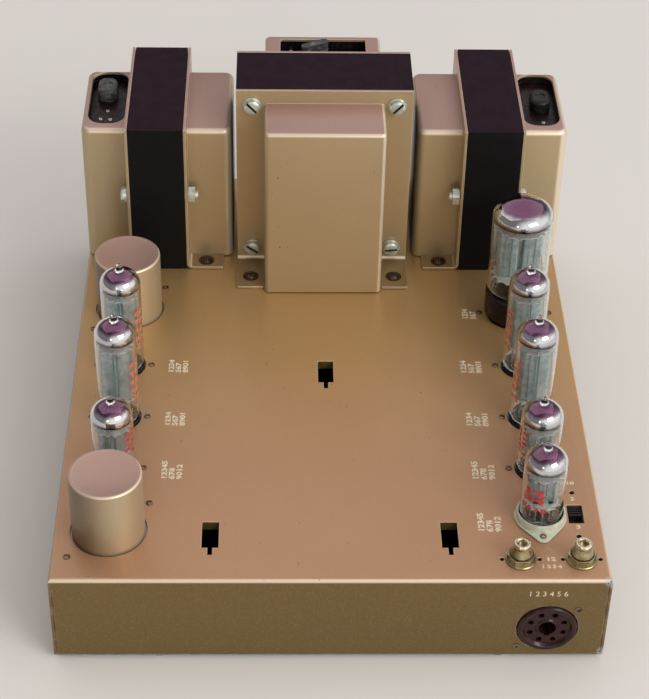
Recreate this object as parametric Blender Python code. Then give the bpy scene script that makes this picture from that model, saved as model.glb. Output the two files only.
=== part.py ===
"""Stereo valve power amplifier on a folded steel chassis.

Units are metres. +Z is up, and the front face looks along -Y with +X on its right.
The origin is on the ground, under the middle of the amplifier's outline.
Distances called rows are measured back from the chassis's front face.
"""

import math

import bmesh
import bpy
from mathutils import Vector

MM = 0.001

# Shared fits
GAP = 0.3 * MM
OVERRUN = 2.0 * MM
MERGE = 0.001 * MM
SHARP_ANGLE = math.radians(35)

# Chassis tray
CHASSIS_WIDTH = 267.0 * MM
CHASSIS_DEPTH = 340.0 * MM
CHASSIS_HEIGHT = 50.6 * MM
CHASSIS_SHEET = 1.2 * MM
CHASSIS_BEND = 2.4 * MM
CHASSIS_FLANGE = 10.0 * MM
SEAM_WIDTH = 0.5 * MM
SEAM_DEPTH = 0.6 * MM
BEND_STEPS = 2

# Bottom cover and its pressed feet
COVER_SHEET = 1.0 * MM
COVER_INSET = 1.0 * MM
PAD_DIAMETER = 9.2 * MM
PAD_HEIGHT = 1.8 * MM
PAD_ROUND = 0.6 * MM
PAD_SIDE_INSET = 51.0 * MM
PAD_END_INSET = 6.0 * MM
PAD_STEPS = 10

# Keyhole slots in the top
KEYHOLE_WIDTH = 8.1 * MM
KEYHOLE_LENGTH = 17.6 * MM
KEYHOLE_STEM_WIDTH = 2.2 * MM
KEYHOLE_STEM_LENGTH = 4.9 * MM
KEYHOLE_LIP_DROP = 4.0 * MM
FRONT_KEYHOLE_ROW = 31.0 * MM
FRONT_KEYHOLE_INSET = 75.7 * MM
FRONT_KEYHOLE_SPREAD = CHASSIS_WIDTH / 2 - FRONT_KEYHOLE_INSET
CENTRE_KEYHOLE_ROW = 155.2 * MM

# Valve and can columns, set in from the tray's sides
LEFT_COLUMN_INSET = 26.6 * MM
RIGHT_COLUMN_INSET = 28.5 * MM
LEFT_COLUMN = LEFT_COLUMN_INSET - CHASSIS_WIDTH / 2
RIGHT_COLUMN = CHASSIS_WIDTH / 2 - RIGHT_COLUMN_INSET
REAR_CAN_ROW = 210.0 * MM
RECTIFIER_ROW = 207.0 * MM
REAR_PENTODE_ROW = 160.4 * MM
FRONT_PENTODE_ROW = 118.2 * MM
TRIODE_ROW = 78.9 * MM
FRONT_TRIODE_ROW = 43.0 * MM
FRONT_TRIODE_INSET = 30.5 * MM
FRONT_TRIODE_X = CHASSIS_WIDTH / 2 - FRONT_TRIODE_INSET
FRONT_CAN_ROW = 34.4 * MM

# Nine-pin valves
NOVAL_GLASS_DIAMETER = 21.0 * MM
NOVAL_WALL = 1.0 * MM
NOVAL_HEEL = 3.0 * MM
NOVAL_RIM = 0.5 * MM
NOVAL_DOME_HEIGHT = 8.6 * MM
NOVAL_PIP_DIAMETER = 3.4 * MM
NOVAL_PIP_HEIGHT = 4.2 * MM
NOVAL_BUTTON_HEIGHT = 2.4 * MM
NOVAL_PIN_CIRCLE = 11.9 * MM
NOVAL_PIN_DIAMETER = 1.0 * MM
NOVAL_PIN_LENGTH = 7.0 * MM
NOVAL_PIN_COUNT = 9
NOVAL_STEPS = 12
DOME_STEPS = 3
PENTODE_GLASS_HEIGHT = 65.6 * MM
TRIODE_GLASS_HEIGHT = 46.0 * MM

# Electrodes inside the nine-pin valves
STEM_DIAMETER = 5.0 * MM
MICA_DIAMETER = 17.6 * MM
MICA_THICKNESS = 0.6 * MM
MICA_STEPS = 8
ANODE_TOP_MARGIN = 5.0 * MM
PENTODE_ANODE_HEIGHT = 32.0 * MM
PENTODE_ANODE_WIDTH = 15.0 * MM
PENTODE_ANODE_DEPTH = 10.0 * MM
TRIODE_ANODE_HEIGHT = 17.0 * MM
TRIODE_ANODE_WIDTH = 14.6 * MM
TRIODE_ANODE_DEPTH = 7.0 * MM
ANODE_ROUND = 2.4 * MM
ROUND_STEPS = 2
PIN_STEPS = 4

# Nine-pin sockets
NOVAL_HOLE_DIAMETER = 22.6 * MM
SOCKET_TOP_DIAMETER = 21.4 * MM
SOCKET_BODY_DIAMETER = 18.6 * MM
SOCKET_DEPTH = 10.0 * MM
SOCKET_STAND = 1.0 * MM
SOCKET_BORE = 3.0 * MM
SADDLE_DIAMETER = 25.6 * MM
SADDLE_SHEET = 0.8 * MM
NOVAL_RIVET_PITCH = 28.6 * MM
SADDLE_EAR_DIAMETER = 7.6 * MM
EAR_STEPS = 2
SADDLE_STEPS = 3
PIN_CLEARANCE = 0.3 * MM

# The front socket stands on top of the sheet in a plated skirt
FRONT_SOCKET_STAND = 3.0 * MM
SKIRT_DIAMETER = 24.4 * MM
SKIRT_BORE = 22.0 * MM
SKIRT_HEIGHT = 4.8 * MM
SKIRT_STEPS = 16

# Rectifier and its eight-pin socket
RECTIFIER_GLASS_DIAMETER = 32.6 * MM
RECTIFIER_NECK_DIAMETER = 25.8 * MM
RECTIFIER_WALL = 1.2 * MM
RECTIFIER_HEIGHT = 73.0 * MM
RECTIFIER_DOME_HEIGHT = 9.0 * MM
RECTIFIER_CROWN_SHARE = 0.12
RECTIFIER_BASE_DIAMETER = 33.2 * MM
RECTIFIER_BASE_HEIGHT = 15.5 * MM
RECTIFIER_BASE_RECESS = 4.0 * MM
RECTIFIER_STEM_DIAMETER = 12.0 * MM
RECTIFIER_MICA_DIAMETER = 27.0 * MM
RECTIFIER_ANODE_HEIGHT = 30.0 * MM
RECTIFIER_ANODE_WIDTH = 22.0 * MM
RECTIFIER_ANODE_DEPTH = 12.0 * MM
RECTIFIER_STEPS = 18
OCTAL_PIN_CIRCLE = 17.45 * MM
OCTAL_PIN_DIAMETER = 2.4 * MM
OCTAL_PIN_LENGTH = 11.0 * MM
OCTAL_PIN_COUNT = 8
OCTAL_KEY_DIAMETER = 7.8 * MM
OCTAL_KEY_LENGTH = 13.0 * MM
OCTAL_KEY_CLEARANCE = 0.6 * MM
OCTAL_HOLE_DIAMETER = 31.0 * MM
OCTAL_SOCKET_TOP_DIAMETER = 29.4 * MM
OCTAL_SOCKET_BODY_DIAMETER = 27.0 * MM
OCTAL_SOCKET_DEPTH = 15.0 * MM
OCTAL_SOCKET_STAND = 1.5 * MM
OCTAL_SADDLE_DIAMETER = 33.4 * MM
OCTAL_RIVET_PITCH = 38.6 * MM
KEY_STEPS = 8

# Capacitor cans
CAN_DIAMETER = 35.4 * MM
CAN_HEIGHT = 37.0 * MM
CAN_DEPTH = 24.0 * MM
CAN_ROUND = 1.3 * MM
CAN_HOLE_DIAMETER = 37.4 * MM
CAN_PLATE_SIDE = 47.0 * MM
CAN_PLATE_SHEET = 1.6 * MM
CAN_PLATE_ROUND = 5.0 * MM
CAN_STEPS = 24

# Phono sockets
PHONO_ROW = 14.4 * MM
PHONO_INSETS = (42.7 * MM, 13.5 * MM)
PHONO_XS = [CHASSIS_WIDTH / 2 - inset for inset in PHONO_INSETS]
PHONO_BARREL_DIAMETER = 8.3 * MM
PHONO_BARREL_HEIGHT = 11.2 * MM
PHONO_LIP = 0.5 * MM
PHONO_LIP_HEIGHT = 2.4 * MM
PHONO_WAIST_DIAMETER = 7.5 * MM
PHONO_COLLAR_DIAMETER = 10.8 * MM
PHONO_COLLAR_HEIGHT = 1.0 * MM
PHONO_NUT_ACROSS = 13.4 * MM
PHONO_NUT_HEIGHT = 3.0 * MM
PHONO_WASHER_DIAMETER = 16.0 * MM
PHONO_WASHER_HEIGHT = 0.9 * MM
PHONO_BUSH_DIAMETER = 9.2 * MM
PHONO_DEPTH = 8.0 * MM
PHONO_BORE = 4.4 * MM
PHONO_BORE_DEPTH = 9.0 * MM
PHONO_HOLE_CLEARANCE = 0.4 * MM
PHONO_SIDE_HOLE_DIAMETER = 2.2 * MM
PHONO_SIDE_HOLE_OFFSET = 9.0 * MM
PHONO_STEPS = 12

# Slide switch
SWITCH_INSET = 13.0 * MM
SWITCH_X = CHASSIS_WIDTH / 2 - SWITCH_INSET
SWITCH_ROW = 45.6 * MM
SWITCH_SLOT_WIDTH = 7.5 * MM
SWITCH_SLOT_LENGTH = 12.9 * MM
SWITCH_SCREW_HOLE = 2.6 * MM
SWITCH_BODY_WIDTH = 10.6 * MM
SWITCH_BODY_LENGTH = 23.0 * MM
SWITCH_BODY_HEIGHT = 9.0 * MM
SWITCH_FRAME_LENGTH = 38.0 * MM
SWITCH_SCREW_INSET = 3.5 * MM
SWITCH_SCREW_PITCH = SWITCH_FRAME_LENGTH - 2 * SWITCH_SCREW_INSET
SWITCH_FRAME_SHEET = 0.8 * MM
SWITCH_TRACK_DEPTH = 3.0 * MM
SLIDER_WIDTH = 6.4 * MM
SLIDER_LENGTH = 6.4 * MM
SLIDER_RECESS = 0.9 * MM
SLIDER_RIB_DEPTH = 0.7 * MM
SLIDER_RIB_WIDTH = 0.8 * MM
SLIDER_RIB_COUNT = 3

# Eight-pin outlet on the front face
OUTLET_INSET = 28.8 * MM
OUTLET_X = CHASSIS_WIDTH / 2 - OUTLET_INSET
OUTLET_HEIGHT = 18.3 * MM
OUTLET_DIAMETER = 29.4 * MM
OUTLET_PROUD = 1.5 * MM
OUTLET_RIM = 1.8 * MM
OUTLET_DISH = 0.9 * MM
OUTLET_BODY_DIAMETER = 26.0 * MM
OUTLET_DEPTH = 13.0 * MM
OUTLET_PIN_HOLE = 2.9 * MM
OUTLET_PIN_DEPTH = 10.0 * MM
OUTLET_KEY_HOLE = 8.6 * MM
OUTLET_KEYWAY = 2.4 * MM
OUTLET_EAR_ANGLE = math.radians(42)
OUTLET_STEPS = 20

# Mains transformer
MAINS_X = -0.5 * MM
MAINS_ROW = 276.2 * MM
MAINS_CORE_WIDTH = 95.6 * MM
MAINS_CORE_HEIGHT = 112.0 * MM
MAINS_STACK = 38.2 * MM
MAINS_BELL_MARGIN = 15.4 * MM
MAINS_BELL_WIDTH = MAINS_CORE_WIDTH - 2 * MAINS_BELL_MARGIN
MAINS_BELL_DEPTH = 31.0 * MM
MAINS_BELL_DROP = 8.0 * MM
MAINS_BELL_CORNER = 2.6 * MM
MAINS_BELL_ROUND = 2.2 * MM
MAINS_FOOT_WIDTH = 15.2 * MM
MAINS_FOOT_REACH = 27.4 * MM
MAINS_BOLT_SIDE_INSET = 8.6 * MM
MAINS_BOLT_END_INSET = 9.4 * MM
MAINS_BOLT_SPREAD = MAINS_CORE_WIDTH / 2 - MAINS_BOLT_SIDE_INSET
MAINS_BOLT_RISE = MAINS_CORE_HEIGHT / 2 - MAINS_BOLT_END_INSET
MAINS_WINDING_BULGE = 17.0 * MM

# Output transformers
OUTPUT_SPACING = 3.0 * MM
OUTPUT_ROW = 290.4 * MM
OUTPUT_CORE_WIDTH = 88.2 * MM
OUTPUT_CORE_HEIGHT = 92.2 * MM
OUTPUT_STACK = 29.6 * MM
OUTPUT_BELL_MARGIN = 12.6 * MM
OUTPUT_BELL_WIDTH = OUTPUT_CORE_WIDTH - 2 * OUTPUT_BELL_MARGIN
OUTPUT_BELL_DEPTH = 24.6 * MM
OUTPUT_BELL_DROP = 7.6 * MM
OUTPUT_BELL_CORNER = 5.0 * MM
OUTPUT_BELL_ROUND = 3.2 * MM
OUTPUT_FOOT_WIDTH = 12.3 * MM
OUTPUT_FOOT_REACH = 19.0 * MM
OUTPUT_BOLT_SIDE_INSET = 5.2 * MM
OUTPUT_BOLT_SPREAD = OUTPUT_CORE_WIDTH / 2 - OUTPUT_BOLT_SIDE_INSET
OUTPUT_BOLT_RISE = 1.0 * MM
OUTPUT_WINDING_BULGE = 11.0 * MM

# What all three transformers share
PLATE_SHEET = 1.5 * MM
BELL_WALL = 1.4 * MM
BELL_STEPS = 2
FOOT_CORNER = 1.2 * MM
FOOT_BEND = 2.0 * MM
FOOT_STEPS = 2
CORE_EDGE = 0.3 * MM
YOKE_SHARE = 1 / 6
WINDING_SHARE = 0.78
WINDING_ROUND = 4.0 * MM
WINDING_CLEARANCE = 0.6 * MM
BOLT_DIAMETER = 4.8 * MM
BOLT_CLEARANCE = 0.4 * MM
BOLT_HEAD_DIAMETER = 9.0 * MM
BOLT_HEAD_HEIGHT = 3.6 * MM
BOLT_HEAD_ROUND = 0.9 * MM
BOLT_SLOT_WIDTH = 1.1 * MM
BOLT_SLOT_DEPTH = 1.5 * MM
BOLT_END = 2.0 * MM
NUT_ACROSS = 8.6 * MM
NUT_HEIGHT = 3.8 * MM
BOLT_STEPS = 10
HOLE_STEPS = 8
LEAD_HOLE_DIAMETER = 14.0 * MM
LEAD_HOLE_STEPS = 8

# Selectors in the outer and rear covers
SELECTOR_SHEET = 2.0 * MM
SELECTOR_DROP = 4.4 * MM
IMPEDANCE_OPENING_LENGTH = 54.0 * MM
IMPEDANCE_OPENING_WIDTH = 20.0 * MM
IMPEDANCE_OPENING_ROUND = 8.0 * MM
IMPEDANCE_OPENING_RIM = 1.4 * MM
IMPEDANCE_OPENING_SHIFT = 2.0 * MM
PLUG_WIDTH = 11.0 * MM
PLUG_LENGTH = 16.0 * MM
PLUG_HEIGHT = 7.0 * MM
PLUG_ROUND = 4.8 * MM
PLUG_TOP_ROUND = 1.4 * MM
PLUG_PIN_DIAMETER = 2.4 * MM
PLUG_PIN_LENGTH = 4.0 * MM
PLUG_PIN_PITCH = 8.0 * MM
LEFT_PLUG_ROW = 304.0 * MM
RIGHT_PLUG_ROW = 294.5 * MM
PLUG_FROM_PLATE = 12.6 * MM
PANEL_LEG_SIDE = 4.0 * MM
PANEL_LEG_INSET = 4.0 * MM
VOLTAGE_DROP = 6.0 * MM
VOLTAGE_OPENING_WIDTH = 47.8 * MM
VOLTAGE_OPENING_DEPTH = 22.7 * MM
VOLTAGE_OPENING_ROUND = 1.2 * MM
VOLTAGE_OPENING_RIM = 4.0 * MM
KNOB_X = -4.5 * MM
KNOB_FROM_PLATE = 20.4 * MM
KNOB_DIAMETER = 15.0 * MM
KNOB_DISC_HEIGHT = 2.4 * MM
KNOB_HEIGHT = 8.4 * MM
KNOB_BAR_LENGTH = 16.4 * MM
KNOB_BAR_WIDTH = 4.8 * MM
KNOB_PIVOT_DIAMETER = 4.0 * MM
KNOB_PIVOT_END = 1.5 * MM
KNOB_ANGLE = math.radians(27)

# Rear face
INLET_INSET = 33.5 * MM
INLET_X = INLET_INSET - CHASSIS_WIDTH / 2
INLET_HEIGHT = 25.0 * MM
INLET_WIDTH = 34.0 * MM
INLET_TALL = 24.0 * MM
INLET_PROUD = 6.0 * MM
INLET_DEPTH = 14.0 * MM
INLET_BODY_WIDTH = 26.0 * MM
INLET_BODY_TALL = 17.0 * MM
INLET_WALL = 1.6 * MM
INLET_RECESS = 13.0 * MM
INLET_ROUND = 3.0 * MM
INLET_PIN_DIAMETER = 4.0 * MM
INLET_PIN_PITCH = 13.0 * MM
INLET_PIN_SETBACK = 2.5 * MM
STRIP_INSET = 78.5 * MM
STRIP_X = CHASSIS_WIDTH / 2 - STRIP_INSET
STRIP_HEIGHT = 25.0 * MM
STRIP_WIDTH = 92.0 * MM
STRIP_TALL = 20.0 * MM
STRIP_THICKNESS = 2.4 * MM
STRIP_ROUND = 2.0 * MM
TERMINAL_COUNT = 6
TERMINAL_PITCH = 14.0 * MM
TERMINAL_BASE_DIAMETER = 8.0 * MM
TERMINAL_BASE_HEIGHT = 1.6 * MM
TERMINAL_HEAD_DIAMETER = 7.0 * MM
TERMINAL_HEAD_HEIGHT = 2.0 * MM
TERMINAL_SHANK_DIAMETER = 3.6 * MM
TERMINAL_HOLE_CLEARANCE = 0.8 * MM
TERMINAL_TAIL = 7.0 * MM
TERMINAL_STEPS = 8

# Tag board under the top sheet
BOARD_ROW = 92.0 * MM
BOARD_LENGTH = 130.0 * MM
BOARD_WIDTH = 46.0 * MM
BOARD_SHEET = 2.0 * MM
BOARD_PILLAR_DIAMETER = 6.0 * MM
BOARD_PILLAR_HEIGHT = 9.0 * MM
BOARD_PILLAR_INSET = 7.0 * MM
COMPONENT_COUNT = 8
COMPONENT_PITCH = 13.0 * MM
COMPONENT_LENGTH = 24.0 * MM
COMPONENT_DIAMETERS = (5.0 * MM, 8.0 * MM)
COMPONENT_SINK = 0.8 * MM
COMPONENT_STEPS = 6

# Places worked out from the sizes above
FRONT_REACH = OUTLET_PROUD
REAR_REACH = max(INLET_PROUD, GAP + STRIP_THICKNESS + TERMINAL_BASE_HEIGHT + TERMINAL_HEAD_HEIGHT)
FRONT_FACE = (FRONT_REACH - REAR_REACH - CHASSIS_DEPTH) / 2
REAR_FACE = FRONT_FACE + CHASSIS_DEPTH
CHASSIS_BOTTOM = PAD_HEIGHT + COVER_SHEET + GAP
TOP = CHASSIS_BOTTOM + CHASSIS_HEIGHT
UNDERSIDE = TOP - CHASSIS_SHEET
INNER_HALF_WIDTH = CHASSIS_WIDTH / 2 - CHASSIS_SHEET
OUTPUT_REACH = OUTPUT_STACK / 2 + GAP + PLATE_SHEET + OUTPUT_BELL_DEPTH
OUTPUT_X = MAINS_CORE_WIDTH / 2 + OUTPUT_SPACING + OUTPUT_REACH

# Colour, roughness and metallic value of each finish
FINISHES = {
    "gold_paint": ((0.40, 0.23, 0.12), 0.38, 0.75),
    "black_lacquer": ((0.012, 0.011, 0.014), 0.35, 0.0),
    "zinc": ((0.50, 0.52, 0.46), 0.35, 1.0),
    "brass": ((0.42, 0.36, 0.18), 0.32, 1.0),
    "brown_bakelite": ((0.055, 0.010, 0.010), 0.25, 0.0),
    "black_bakelite": ((0.012, 0.011, 0.012), 0.30, 0.0),
    "glass": ((0.90, 0.93, 0.93), 0.03, 0.0),
    "electrode_steel": ((0.32, 0.34, 0.35), 0.40, 0.9),
    "winding": ((0.45, 0.30, 0.12), 0.60, 0.0),
    "board": ((0.28, 0.15, 0.05), 0.55, 0.0),
}


# Outlines in two dimensions

def circle(diameter, steps, centre=(0.0, 0.0), start=0.0):
    """Points around a circle."""
    radius = diameter / 2
    turns = [start + 2 * math.pi * step / steps for step in range(steps)]
    return [(centre[0] + radius * math.cos(a), centre[1] + radius * math.sin(a)) for a in turns]


def hexagon(across_flats):
    """The six corners of a nut."""
    return circle(across_flats / math.cos(math.pi / 6), 6)


def arc(centre, radius, first, last, steps):
    """Points along an arc, both ends included."""
    turns = [first + (last - first) * step / steps for step in range(steps + 1)]
    return [(centre[0] + radius * math.cos(a), centre[1] + radius * math.sin(a)) for a in turns]


def rectangle(width, height, centre=(0.0, 0.0)):
    """Corners of a rectangle."""
    x, y = centre
    return [
        (x - width / 2, y - height / 2),
        (x + width / 2, y - height / 2),
        (x + width / 2, y + height / 2),
        (x - width / 2, y + height / 2),
    ]


def rounded_rectangle(width, height, radius, steps=ROUND_STEPS, centre=(0.0, 0.0)):
    """A rectangle with its corners as arcs, limited by the sides."""
    radius = min(radius, (width - MERGE) / 2, (height - MERGE) / 2)
    points = []
    for corner, (side, rise) in enumerate(((1, 1), (-1, 1), (-1, -1), (1, -1))):
        middle = (centre[0] + side * (width / 2 - radius), centre[1] + rise * (height / 2 - radius))
        first = corner * math.pi / 2
        points += arc(middle, radius, first, first + math.pi / 2, steps)
    return points


def saddle(diameter, pitch, ear_diameter, turn=0.0):
    """A round plate with two smaller round ears, joined by tangents."""
    big, small, reach = diameter / 2, ear_diameter / 2, pitch / 2
    lean = math.acos((big - small) / reach)
    points = arc((0.0, 0.0), big, lean, math.pi - lean, SADDLE_STEPS)
    points += arc((-reach, 0.0), small, math.pi - lean, math.pi + lean, EAR_STEPS)
    points += arc((0.0, 0.0), big, math.pi + lean, 2 * math.pi - lean, SADDLE_STEPS)
    points += arc((reach, 0.0), small, -lean, lean, EAR_STEPS)
    cosine, sine = math.cos(turn), math.sin(turn)
    return [(x * cosine - y * sine, x * sine + y * cosine) for x, y in points]


def keyhole(centre):
    """A rectangle with a narrow stem towards the front."""
    x, y = centre
    half, stem = KEYHOLE_WIDTH / 2, KEYHOLE_STEM_WIDTH / 2
    front = y - KEYHOLE_LENGTH / 2
    return [
        (x - stem, front - KEYHOLE_STEM_LENGTH),
        (x + stem, front - KEYHOLE_STEM_LENGTH),
        (x + stem, front),
        (x + half, front),
        (x + half, y + KEYHOLE_LENGTH / 2),
        (x - half, y + KEYHOLE_LENGTH / 2),
        (x - half, front),
        (x - stem, front),
    ]


# Solids added to a bmesh

def placed(axis, along, a, b):
    """A point in space from a place along an axis and two across it."""
    return {"x": (along, a, b), "y": (a, along, b), "z": (a, b, along)}[axis]


def prism(bm, outline, low, high, axis="z"):
    """An outline pushed along an axis, from low to high."""
    lower = [bm.verts.new(placed(axis, low, a, b)) for a, b in outline]
    upper = [bm.verts.new(placed(axis, high, a, b)) for a, b in outline]
    faces = [bm.faces.new(lower), bm.faces.new(upper)]
    count = len(outline)
    for i in range(count):
        j = (i + 1) % count
        faces.append(bm.faces.new((lower[i], lower[j], upper[j], upper[i])))
    return faces


def block(bm, low, high):
    """A box between two corners."""
    width, depth = high[0] - low[0], high[1] - low[1]
    middle = ((low[0] + high[0]) / 2, (low[1] + high[1]) / 2)
    return prism(bm, rectangle(width, depth, middle), low[2], high[2])


def turned(bm, profile, steps, centre=(0.0, 0.0, 0.0), axis="z"):
    """A profile of radii and places along an axis, turned about it from end to end."""
    rings = []
    for radius, along in profile:
        spots = circle(2 * radius, steps) if radius > 0 else [(0.0, 0.0)]
        rings.append([bm.verts.new(Vector(placed(axis, along, a, b)) + Vector(centre)) for a, b in spots])
    for near, far in zip(rings, rings[1:]):
        for i in range(steps):
            j = (i + 1) % steps
            corners = (near[i % len(near)], near[j % len(near)], far[j % len(far)], far[i % len(far)])
            bm.faces.new(dict.fromkeys(corners))


def solid(make, *sizes, **options):
    """A new bmesh filled by the given function."""
    bm = bmesh.new()
    make(bm, *sizes, **options)
    return bm


# Objects

def finish_for(name, kind):
    """A material of its own for one piece."""
    colour, roughness, metallic = FINISHES[kind]
    material = bpy.data.materials.new(name + "_" + kind)
    material.use_nodes = True
    shader = material.node_tree.nodes["Principled BSDF"]
    shader.inputs["Base Color"].default_value = (*colour, 1.0)
    shader.inputs["Roughness"].default_value = roughness
    shader.inputs["Metallic"].default_value = metallic
    if kind == "glass":
        shader.inputs["Transmission Weight"].default_value = 1.0
    return material


def add_object(name, bm, parent=None):
    """An object from a bmesh, with its faces pointing out."""
    bmesh.ops.recalc_face_normals(bm, faces=bm.faces)
    mesh = bpy.data.meshes.new(name)
    bm.to_mesh(mesh)
    bm.free()
    mesh.shade_smooth()
    mesh.set_sharp_from_angle(angle=SHARP_ANGLE)
    item = bpy.data.objects.new(name, mesh)
    bpy.context.scene.collection.objects.link(item)
    item.parent = parent
    return item


def piece(name, bm, kind, place=(0.0, 0.0, 0.0), turn=0.0, parent=None):
    """A sub-part with its own finish, placed and turned about Z."""
    item = add_object(name, bm, parent)
    item.data.materials.append(finish_for(name, kind))
    item.location = place
    item.rotation_euler = (0.0, 0.0, turn)
    return item


def combine(item, bm, operation, word):
    """Joins a tool shape to a piece, or cuts it out, with a Boolean."""
    tool = add_object(item.name + "_" + word, bm, item)
    tool.hide_render = True
    tool.display_type = "WIRE"
    modifier = item.modifiers.new(word, "BOOLEAN")
    modifier.operation = operation
    modifier.solver = "EXACT"
    modifier.object = tool


def cut(item, bm, word="cutter"):
    """Takes a shape out of a piece."""
    combine(item, bm, "DIFFERENCE", word)


def join(item, bm, word="addition"):
    """Adds a shape to a piece."""
    combine(item, bm, "UNION", word)


def anchor(name, place, turn=0.0, parent=None):
    """An empty on a joint's axis, or at a sub-assembly's centre."""
    empty = bpy.data.objects.new(name, None)
    bpy.context.scene.collection.objects.link(empty)
    empty.location = place
    empty.rotation_euler = (0.0, 0.0, turn)
    empty.parent = parent
    return empty


def bevel_where(bm, picks, radius, steps):
    """Rounds the edges that a test picks."""
    bmesh.ops.recalc_face_normals(bm, faces=bm.faces)
    edges = [edge for edge in bm.edges if picks(edge)]
    bmesh.ops.bevel(
        bm, geom=edges, offset=radius, segments=steps, profile=0.5, affect="EDGES", clamp_overlap=True
    )


def row(distance):
    """The Y place of a distance back from the front face."""
    return FRONT_FACE + distance


# Chassis and bottom cover

def top_edge(bm, height):
    """A test for the edges that lie wholly at a height."""
    return lambda edge: all(abs(v.co.z - height) < MERGE for v in edge.verts)


def chassis_body(bm):
    """The tray's outside with its folded top edges."""
    half = CHASSIS_WIDTH / 2
    block(bm, (-half, FRONT_FACE, CHASSIS_BOTTOM), (half, REAR_FACE, TOP))
    bevel_where(bm, top_edge(bm, TOP), CHASSIS_BEND, BEND_STEPS)


def chassis_cavity(bm):
    """The space inside the tray, above its bottom flanges."""
    half, sheet = INNER_HALF_WIDTH, CHASSIS_SHEET
    block(bm, (-half, FRONT_FACE + sheet, CHASSIS_BOTTOM + sheet), (half, REAR_FACE - sheet, UNDERSIDE))
    bevel_where(bm, top_edge(bm, UNDERSIDE), CHASSIS_BEND - CHASSIS_SHEET, ROUND_STEPS)


def chassis_mouth(bm):
    """The opening between the bottom flanges."""
    half = CHASSIS_WIDTH / 2 - CHASSIS_FLANGE
    low = (-half, FRONT_FACE + CHASSIS_FLANGE, CHASSIS_BOTTOM - OVERRUN)
    high = (half, REAR_FACE - CHASSIS_FLANGE, CHASSIS_BOTTOM + CHASSIS_SHEET + OVERRUN)
    block(bm, low, high)


def keyhole_places():
    """Centres of the three keyhole slots."""
    front = row(FRONT_KEYHOLE_ROW)
    return [
        (-FRONT_KEYHOLE_SPREAD, front),
        (FRONT_KEYHOLE_SPREAD, front),
        (0.0, row(CENTRE_KEYHOLE_ROW)),
    ]


def top_holes(bm):
    """Every hole through the top sheet."""
    low, high = UNDERSIDE - OVERRUN, TOP + OVERRUN
    for place in keyhole_places():
        prism(bm, keyhole(place), low, high)
    for _, kind, x, distance in VALVES:
        diameter = OCTAL_HOLE_DIAMETER if kind == "rectifier" else NOVAL_HOLE_DIAMETER
        prism(bm, circle(diameter, NOVAL_STEPS, (x, row(distance))), low, high)
    for _, distance in CANS:
        prism(bm, circle(CAN_HOLE_DIAMETER, CAN_STEPS, (LEFT_COLUMN, row(distance))), low, high)
    bush = PHONO_BUSH_DIAMETER + 2 * PHONO_HOLE_CLEARANCE
    for x in PHONO_XS:
        prism(bm, circle(bush, PHONO_STEPS, (x, row(PHONO_ROW))), low, high)
        for side in (-1, 1):
            beside = (x + side * PHONO_SIDE_HOLE_OFFSET, row(PHONO_ROW))
            prism(bm, circle(PHONO_SIDE_HOLE_DIAMETER, HOLE_STEPS, beside), low, high)
    switch = (SWITCH_X, row(SWITCH_ROW))
    prism(bm, rectangle(SWITCH_SLOT_WIDTH, SWITCH_SLOT_LENGTH, switch), low, high)
    for side in (-1, 1):
        beside = (SWITCH_X, switch[1] + side * SWITCH_SCREW_PITCH / 2)
        prism(bm, circle(SWITCH_SCREW_HOLE, HOLE_STEPS, beside), low, high)
    for x, y in ((MAINS_X, row(MAINS_ROW)), (-OUTPUT_X, row(OUTPUT_ROW)), (OUTPUT_X, row(OUTPUT_ROW))):
        prism(bm, circle(LEAD_HOLE_DIAMETER, LEAD_HOLE_STEPS, (x, y)), low, high)


def face_holes(bm):
    """The outlet's hole in front, and the inlet's and terminals' holes behind."""
    height = CHASSIS_BOTTOM + OUTLET_HEIGHT
    outline = circle(OUTLET_DIAMETER + 2 * GAP, OUTLET_STEPS, (OUTLET_X, height))
    prism(bm, outline, FRONT_FACE - OVERRUN, FRONT_FACE + CHASSIS_SHEET + OVERRUN, "y")
    low, high = REAR_FACE - CHASSIS_SHEET - OVERRUN, REAR_FACE + OVERRUN
    inlet = (INLET_X, CHASSIS_BOTTOM + INLET_HEIGHT)
    prism(bm, rectangle(INLET_BODY_WIDTH + 2 * GAP, INLET_BODY_TALL + 2 * GAP, inlet), low, high, "y")
    for x in terminal_places():
        hole = TERMINAL_SHANK_DIAMETER + 2 * TERMINAL_HOLE_CLEARANCE
        prism(bm, circle(hole, HOLE_STEPS, (x, CHASSIS_BOTTOM + STRIP_HEIGHT)), low, high, "y")


def seams(bm):
    """Grooves where the front and rear flanges meet the side flanges."""
    for side in (-1, 1):
        outer = side * (CHASSIS_WIDTH / 2 - CHASSIS_SHEET)
        inner = outer - side * SEAM_WIDTH
        low_x, high_x = min(outer, inner), max(outer, inner)
        for face, inward in ((FRONT_FACE, 1), (REAR_FACE, -1)):
            ends = sorted((face - inward * OVERRUN, face + inward * SEAM_DEPTH))
            low = (low_x, ends[0], CHASSIS_BOTTOM - OVERRUN)
            block(bm, low, (high_x, ends[1], TOP - CHASSIS_BEND))


def keyhole_lips(bm):
    """The tab that each keyhole's rear edge is folded down into."""
    for x, y in keyhole_places():
        back = y + KEYHOLE_LENGTH / 2
        low = (x - KEYHOLE_WIDTH / 2, back, UNDERSIDE - KEYHOLE_LIP_DROP)
        high = (x + KEYHOLE_WIDTH / 2, back + CHASSIS_SHEET, UNDERSIDE + CHASSIS_SHEET / 2)
        block(bm, low, high)


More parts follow.
